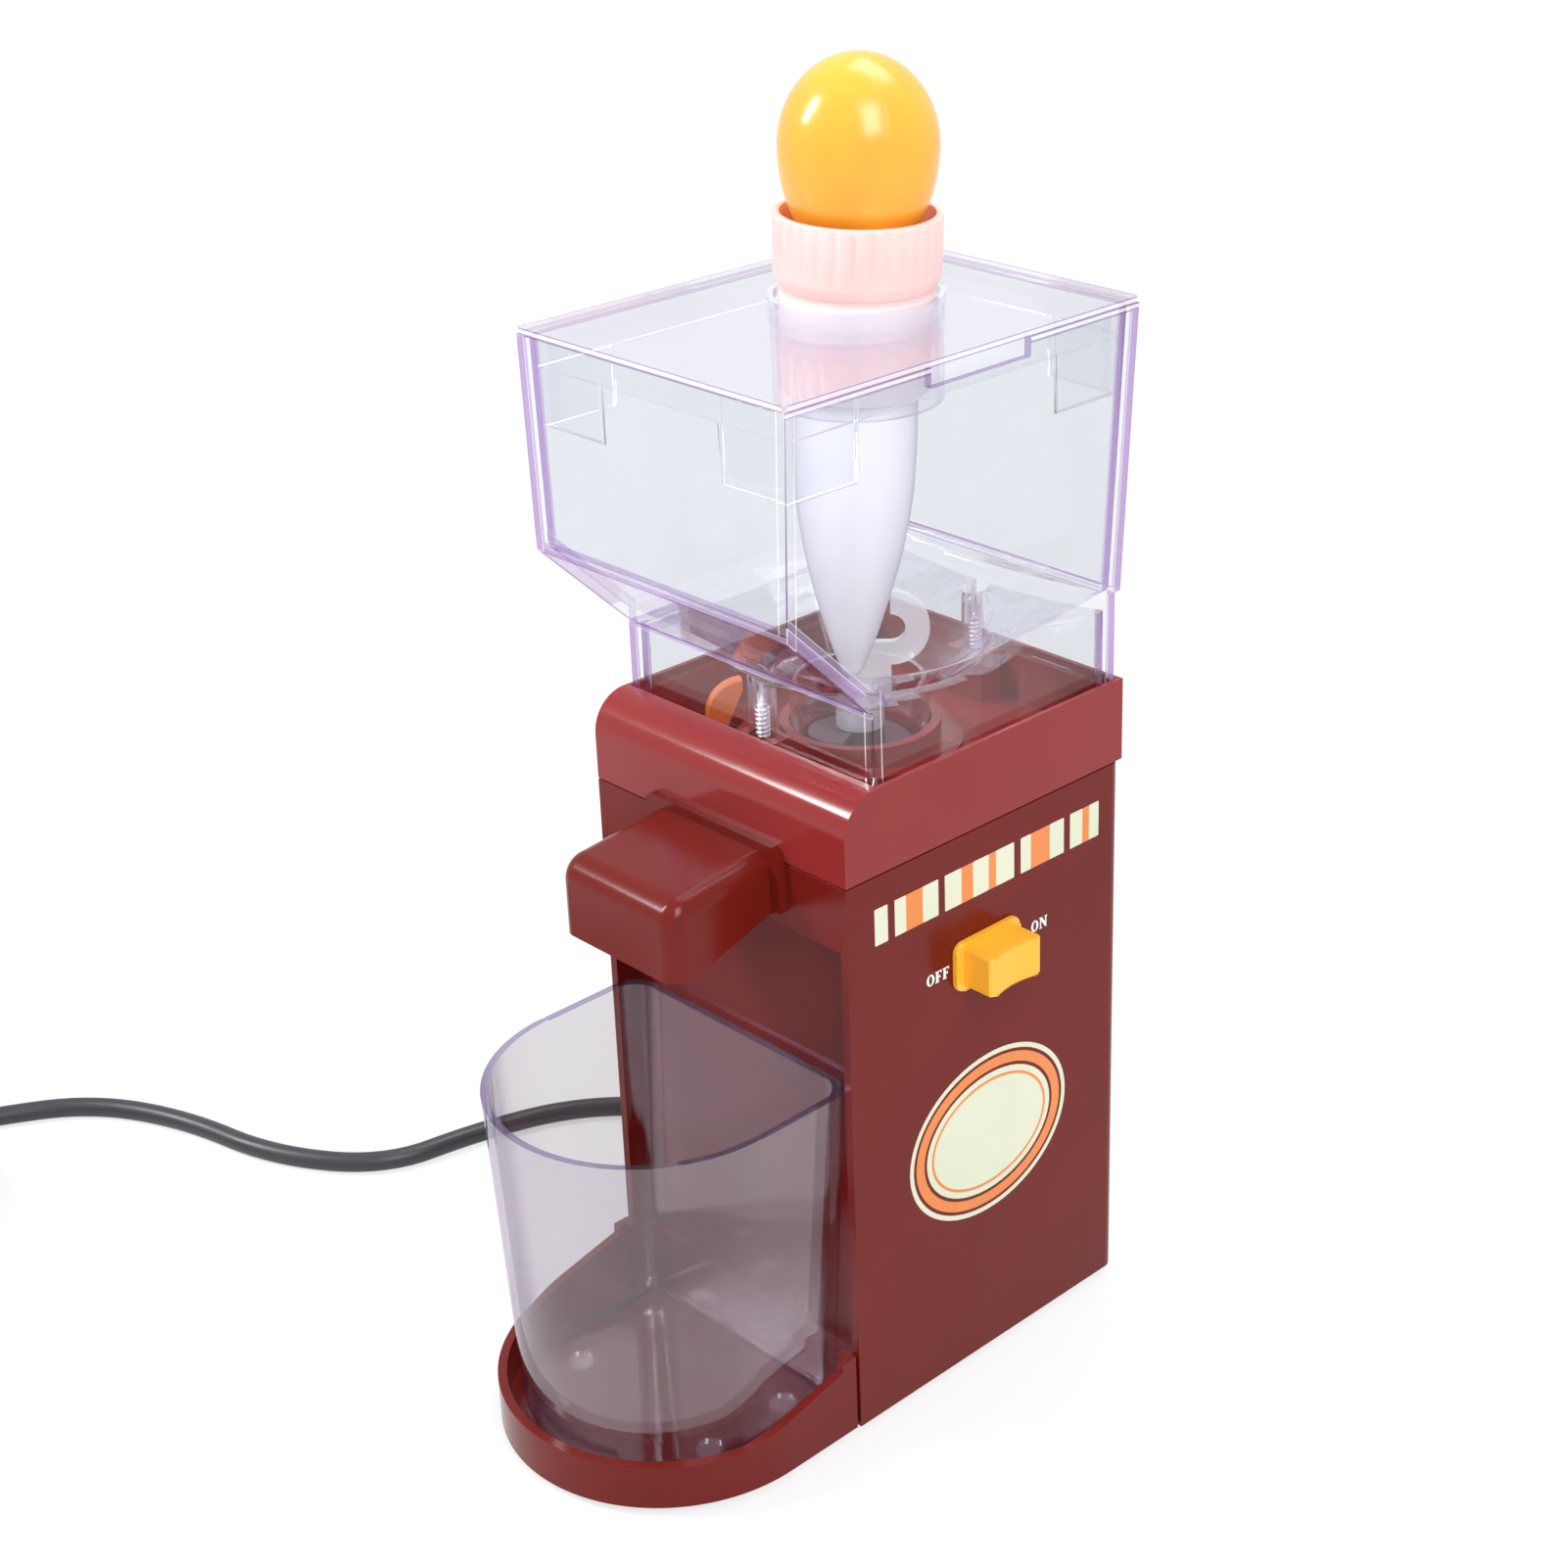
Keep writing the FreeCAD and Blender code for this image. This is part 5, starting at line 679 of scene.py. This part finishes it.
dropperValues = {
    # it stands a little askew in its socket, turned (degrees) about a level line through the pivot
    "pivot": (0, 54.5, 292.5),
    "lean": 2.1,
    # the bulb: height of its neck, how far above it is the widest place, how it narrows from there
    "bulbPlace": 19.0, "bulbWidest": 20.9, "bulbRadius": 20.1, "bulbCrown": 22.6, "bulbTaper": 29.96,
    "bulbNeck": 14.4, "bulbWall": 1.6, "bulbStem": 10, "seam": (-20, 0.12, 0.5),
    # paleUnder: how far above the pivot the collar's painted lighter part reaches
    "flutes": 30, "fluteDepth": 0.55, "fluteFoot": 8.5, "paleUnder": 4,
}
lean = Matrix.Rotation(math.radians(dropperValues["lean"]), 4, Vector((-1, 1, 0)))


def leaned(point):
    return spot(*dropperValues["pivot"]) + (lean @ point) / 1000


def makeBulb(v):
    base, radius, wall, neck = v["bulbPlace"], v["bulbRadius"], v["bulbWall"], v["bulbNeck"]
    widest = base + v["bulbWidest"]
    outer = []
    for step in range(40):
        # from the crown down over the widest place to the neck
        angle = math.radians(90 - step * 90 / 24)
        height = widest + (v["bulbCrown"] if angle >= 0 else v["bulbTaper"]) * math.sin(angle)
        if height < base + 0.4:
            break
        outer.append((radius * math.cos(angle), height))
    inner = [(max(out - wall, 0.01), widest + (height - widest) * (1 - wall / v["bulbCrown"]))
             for out, height in outer]
    outer[0], inner[0] = (0.001, outer[0][1]), (0.001, inner[0][1])
    for line, out in ((outer, neck), (inner, neck - wall)):
        line += [(out, base - 0.3), (out, base - v["bulbStem"])]
    turn, rise, reach = v["seam"]

    def seam(angle, radius, height):
        # a fine parting line over the bulb
        away = abs(math.remainder(angle - math.radians(turn), math.pi))
        ridge = rise * max(0, 1 - away * radius / reach)
        return radius + (ridge if height > base and radius > 1 else 0)

    bm = bmesh.new()
    lathe(bm, outer + inner[::-1], 144, leaned, seam)
    addPiece("bulb", bm, "dropper", (bulbRubber,), ("dropper_bulb",), 50, False)


def makeCollar(v):
    profile = [(18.0, -22), (18.7, -21.6)]
    profile += curveThrough([(18.75, -21), (19.7, 4.0), (19.9, 5.2), (21.1, 8.0)], 5)
    profile += [(21.2, 9.0), (21.35, 16), (21.4, 23.0), (21.1, 23.6), (20.6, 23.7), (19.6, 23.6),
                (19.4, 23.1), (19.4, 16.5), (14.6, 16.5), (14.6, 14.0), (16.2, 14.0), (16.2, -22)]
    foot = v["fluteFoot"]

    def flute(angle, radius, height):
        if height < foot or radius < 20.5:
            return radius
        fade = min(1, (height - foot) / 1.5)
        return radius - v["fluteDepth"] * fade * (0.5 + 0.5 * math.cos(v["flutes"] * angle)) ** 2

    bm = bmesh.new()
    lathe(bm, profile, 300, leaned, flute)
    # painted light: faces below this height get the paler copy of the collar's colour, lightening the part
    # that lies in the lid's shade
    for face in bm.faces:
        if face.calc_center_median().z * 1000 < v["pivot"][2] + v["paleUnder"]:
            face.material_index = 1
    addPiece("collar", bm, "dropper", (collarPink, collarPaintedLight), ("dropper_collar",), 50, False)


def makeTube():
    outer = [(16, 13.8), (16, -33)] + curveThrough(
        [(16, -35), (15.4, -49.3), (13.4, -63.5), (10.9, -74.5), (8.0, -85), (5.6, -92.5), (3.4, -98.2)], 5)
    outer += [(2.9, -99.6), (2.2, -100.7), (1.6, -101), (0.8, -101)]
    inner = [(0.8, -98.0), (2.0, -97.0), (6.4, -85.5), (11.8, -64), (13.9, -49), (14.5, -35), (14.5, 13.8)]
    bm = bmesh.new()
    lathe(bm, outer + inner, 96, leaned)
    addPiece("dropperTube", bm, "dropper", (milkTubePaintedGlow,), ("dropper_body",), 40, False)


makeBulb(dropperValues)
makeCollar(dropperValues)
makeTube()
print("dropper done")

printValues = {
    "face": 47.5, "thick": 0.07,
    # the row of stripes: from where to where up, and from where to where each goes
    "band": (145.2, 155.5), "stripeCorner": 0.25,
    "cream": [(9.5, 14.1), (16.6, 20.6), (26.6, 32.3), (34.7, 40.8), (45.1, 51.0), (53.8, 60.7), (63.3, 67.2),
              (74.6, 80.2), (82.7, 87.6), (90.3, 94.2)],
    "orange": [(20.6, 26.6), (40.8, 45.1), (51.0, 53.8), (67.2, 74.6), (87.6, 90.3)],
    # the blank oval label; its rings and its middle are given by how far they lie inside its edge
    "badgeCentre": (50.7, 71.8), "badgeHalf": (30.5, 24.5), "creamRing": (0, 1.4), "orangeRing": (2.4, 5.4),
    "creamMiddle": 6.4, "fineRing": (8.2, 9.0), "fineRise": 0.04,
}


def onSide(a, b, c):
    # printed on the side of the tower: a to the back, b up, c out of the face
    return spot(printValues["face"] + c, a, b)


def oval(v, inset, steps=96):
    (y, z), (long, tall) = v["badgeCentre"], v["badgeHalf"]
    return [(y + (long - inset) * math.cos(2 * math.pi * step / steps),
             z + (tall - inset) * math.sin(2 * math.pi * step / steps)) for step in range(steps)]


def ringBand(bm, v, ring, out):
    # A flat oval band, closed all round
    outer, inner = (oval(v, inset) for inset in ring)
    loops = [[bm.verts.new(onSide(a, b, height)) for a, b in line]
             for line, height in ((outer, 0), (outer, out), (inner, out), (inner, 0))]
    for here in range(4):
        first, second = loops[here], loops[(here + 1) % 4]
        for step in range(len(first)):
            after = (step + 1) % len(first)
            bm.faces.new((first[step], first[after], second[after], second[step]))


def makePrints(v):
    low, high = v["band"]
    for name, surface in (("cream", creamPrint), ("orange", orangePrint)):
        bm = bmesh.new()
        for start, end in v[name]:
            prism(bm, roundedOutline((start, low), (end, high), v["stripeCorner"], 3), 0, v["thick"], onSide)
        addPiece(name + "Bars", bm, "root", (surface,), angle=30)
    bm = bmesh.new()
    ringBand(bm, v, v["creamRing"], v["thick"])
    prism(bm, oval(v, v["creamMiddle"]), 0, v["thick"], onSide)
    addPiece("badgeCream", bm, "root", (creamPrint,), angle=30)
    bm = bmesh.new()
    ringBand(bm, v, v["orangeRing"], v["thick"])
    ringBand(bm, v, v["fineRing"], v["thick"] + v["fineRise"])
    addPiece("badgeOrange", bm, "root", (orangePrint,), angle=30)


makePrints(printValues)

letterValues = {
    "height": 3.3,
    "out": 0.06,
    # a dark rim round each letter: how wide, and how far out
    "rim": 0.28,
    "rimOut": 0.02,
    "words": {"OFF": (27.6, 125.75), "ON": (67.4, 125.75)},
    "gap": 0.35,
}
letterShapes = {
    # a letter's width and its outline, in parts of its height; the O is two ovals, given by their halves
    "O": (0.86, [(0.43, 0.5), (0.19, 0.4)]),
    "F": (0.72, [(0, 0), (0.42, 0), (0.42, 0.07), (0.34, 0.09), (0.34, 0.42), (0.46, 0.42), (0.5, 0.34),
                 (0.56, 0.34), (0.56, 0.62), (0.5, 0.62), (0.46, 0.54), (0.34, 0.54), (0.34, 0.89),
                 (0.54, 0.89), (0.62, 0.74), (0.7, 0.74), (0.7, 1), (0, 1), (0, 0.93), (0.08, 0.91),
                 (0.08, 0.09), (0, 0.07)]),
    "N": (0.98, [(0, 0), (0.32, 0), (0.32, 0.07), (0.22, 0.1), (0.22, 0.7), (0.72, 0), (0.84, 0),
                 (0.84, 0.9), (0.94, 0.93), (0.94, 1), (0.62, 1), (0.62, 0.93), (0.72, 0.9), (0.72, 0.42),
                 (0.3, 1), (0, 1), (0, 0.93), (0.1, 0.9), (0.1, 0.1), (0, 0.07)]),
}


def letterLoops(letter):
    width, shape = letterShapes[letter]
    if letter != "O":
        return width, [shape]
    turns = [2 * math.pi * step / 32 for step in range(32)]
    return width, [[(width / 2 + a * math.cos(turn), 0.5 + b * math.sin(turn)) for turn in turns]
                   for a, b in shape]


def makeLetters(v):
    tall = v["height"]
    for word, (start, low) in v["words"].items():
        loops = []
        at = start
        for letter in word:
            width, shapes = letterLoops(letter)
            loops += [[(at + a * tall, low + b * tall) for a, b in shape] for shape in shapes]
            at += width * tall + v["gap"]
        for name, surface, rim, out in (("Rim", darkPrint, v["rim"], v["rimOut"]),
                                         ("", letterWhite, 0, v["out"])):
            data = bpy.data.curves.new(word.lower() + "Mark" + name, "CURVE")
            data.dimensions = "2D"
            data.fill_mode = "BOTH"
            data.extrude = out / 1000
            data.offset = rim / 1000
            for loop in loops:
                line = data.splines.new("POLY")
                line.points.add(len(loop) - 1)
                for point, (a, b) in zip(line.points, loop):
                    point.co = (a / 1000, b / 1000, 0, 1)
                line.use_cyclic_u = True
            data.materials.append(surface.material)
            item = bpy.data.objects.new(data.name, data)
            scene.collection.objects.link(item)
            item.matrix_world = Matrix.Translation(spot(printValues["face"], 0, 0)) @ Matrix(
                ((0, 0, 1, 0), (1, 0, 0, 0), (0, 1, 0, 0), (0, 0, 0, 1)))
            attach(item, "root")


makeLetters(letterValues)
print("prints done")

screwBright = moulded("screwBright", tone(246, 246, 248), tone(228, 228, 232), (0.2, 0.3), 0.05, Metallic=0.5)
screwValues = {
    "places": [(0, 17.4), (0, 96.7)],
    # head from where to where, its radius and its two rims; heights where the thread and its point end
    "head": (179.9, 181.8), "headRadius": 3.2, "headRim": (0.5, 0.4), "tip": 197.3, "point": 3.2,
    "shank": 2.0, "core": 1.4, "pitch": 1.25, "steps": 90,
}


def makeScrews(v):
    bm = bmesh.new()
    (low, seat), wide, (inset, rise) = v["head"], v["headRadius"], v["headRim"]
    profile = [(0.001, low), (wide - inset, low), (wide, low + rise), (wide, seat), (v["core"], seat)]
    profile += [(v["core"], seat + (v["tip"] - 0.1 - seat) * step / v["steps"])
                for step in range(v["steps"] + 1)]
    profile.append((0.001, v["tip"]))

    def thread(angle, radius, height):
        if height <= seat + 0.01 or radius < 0.01:
            return radius
        left = min(1, (v["tip"] - height) / v["point"])
        wave = abs(math.remainder(height / v["pitch"] - angle / (2 * math.pi), 1)) * 2
        return max((v["core"] + (v["shank"] - v["core"]) * (1 - wave) ** 1.5) * left, 0.02)

    for x, y in v["places"]:
        screw = bmesh.new()
        lathe(screw, profile, 40, shape=thread)
        for vert in screw.verts:
            vert.co += spot(x, y, 0)
        mesh = bpy.data.meshes.new("screw")
        screw.to_mesh(mesh)
        screw.free()
        bm.from_mesh(mesh)
        bpy.data.meshes.remove(mesh)
    addPiece("hopperScrews", bm, "root", (screwBright,), ("hopper_screws",), 40, False)


makeScrews(screwValues)
print("screws done")

stageValues = {
    "floorSize": 6,
    "floorColour": (0.80, 0.80, 0.80, 1),
    # as the floor is seen: its glow near the object and far from it, between which distances (m) one turns
    # into the other, and the share of its colour that still takes the shadow
    "floorGlow": (0.74, 0.87),
    "glowFrom": (0.4, 1.2),
    "floorShare": 0.3,
    "ambient": 0.55,
}


def seenDirectly(tree):
    # 1 where the camera, a mirror or clear plastic looks, 0 for light that falls on things
    path = tree.nodes.new("ShaderNodeLightPath")
    share = path.outputs["Is Camera Ray"]
    for ray in ("Is Glossy Ray", "Is Transmission Ray"):
        either = tree.nodes.new("ShaderNodeMath")
        either.operation = "MAXIMUM"
        tree.links.new(share, either.inputs[0])
        tree.links.new(path.outputs[ray], either.inputs[1])
        share = either.outputs[0]
    return share


def makeFloor(v):
    mesh = bpy.data.meshes.new("floor")
    size = v["floorSize"]
    corners = [(-size, -size, 0), (size, -size, 0), (size, size, 0), (-size, size, 0)]
    mesh.from_pydata(corners, [], [(0, 1, 2, 3)])
    floor = bpy.data.objects.new("floor", mesh)
    scene.collection.objects.link(floor)
    made = Surface("floorPale", Roughness=0.9, Base_Color=v["floorColour"], Specular_IOR_Level=0.0)
    away = made.add("VectorMath", operation="LENGTH")
    made.link(made.add("TexCoord").outputs["Object"], away.inputs[0])
    reach = made.add("MapRange", From_Min=v["glowFrom"][0], From_Max=v["glowFrom"][1],
                     To_Min=v["floorGlow"][0], To_Max=v["floorGlow"][1])
    made.link(away.outputs["Value"], reach.inputs["Value"])
    glow = made.add("Emission")
    made.link(reach.outputs["Result"], glow.inputs["Strength"])
    dim = made.add("BsdfDiffuse", Color=(*[value * v["floorShare"] for value in v["floorColour"][:3]], 1))
    bright = made.add("AddShader")
    made.link(glow.outputs["Emission"], bright.inputs[0])
    made.link(dim.outputs["BSDF"], bright.inputs[1])
    chosen = made.mix(seenDirectly(made.tree), made.shader, bright)
    made.link(chosen.outputs["Shader"], made.output.inputs["Surface"])
    mesh.materials.append(made.material)


def makeWorld(v):
    world = bpy.data.worlds.new("studio")
    scene.world = world
    world.use_nodes = True
    tree = world.node_tree
    back = tree.nodes["Background"]
    back.inputs["Color"].default_value = (1, 1, 1, 1)
    strength = tree.nodes.new("ShaderNodeMapRange")
    strength.inputs["To Min"].default_value = v["ambient"]
    strength.inputs["To Max"].default_value = 1.0
    tree.links.new(seenDirectly(tree), strength.inputs["Value"])
    tree.links.new(strength.outputs["Result"], back.inputs["Strength"])


makeFloor(stageValues)
makeWorld(stageValues)

lampValues = [
    # name, place (m), aims at (m), size (m), power (W)
    ("keyLamp", (0.95, -0.35, 1.05), (0.0, 0.0, 0.17), (0.55, 0.8), 13.0),
    ("leftLamp", (-0.75, -0.75, 0.95), (0.0, 0.0, 0.2), (0.14, 0.5), 12.0),
    ("topLamp", (-0.1, 0.5, 1.3), (0.0, 0.0, 0.2), (0.8, 0.5), 7.0),
]
for name, place, aim, size, power in lampValues:
    data = bpy.data.lights.new(name, "AREA")
    data.shape = "RECTANGLE"
    data.size, data.size_y = size
    data.energy = power
    lamp = bpy.data.objects.new(name, data)
    scene.collection.objects.link(lamp)
    lamp.location = place
    lamp.rotation_euler = (Vector(aim) - Vector(place)).to_track_quat("-Z", "Y").to_euler()
print("stage done")
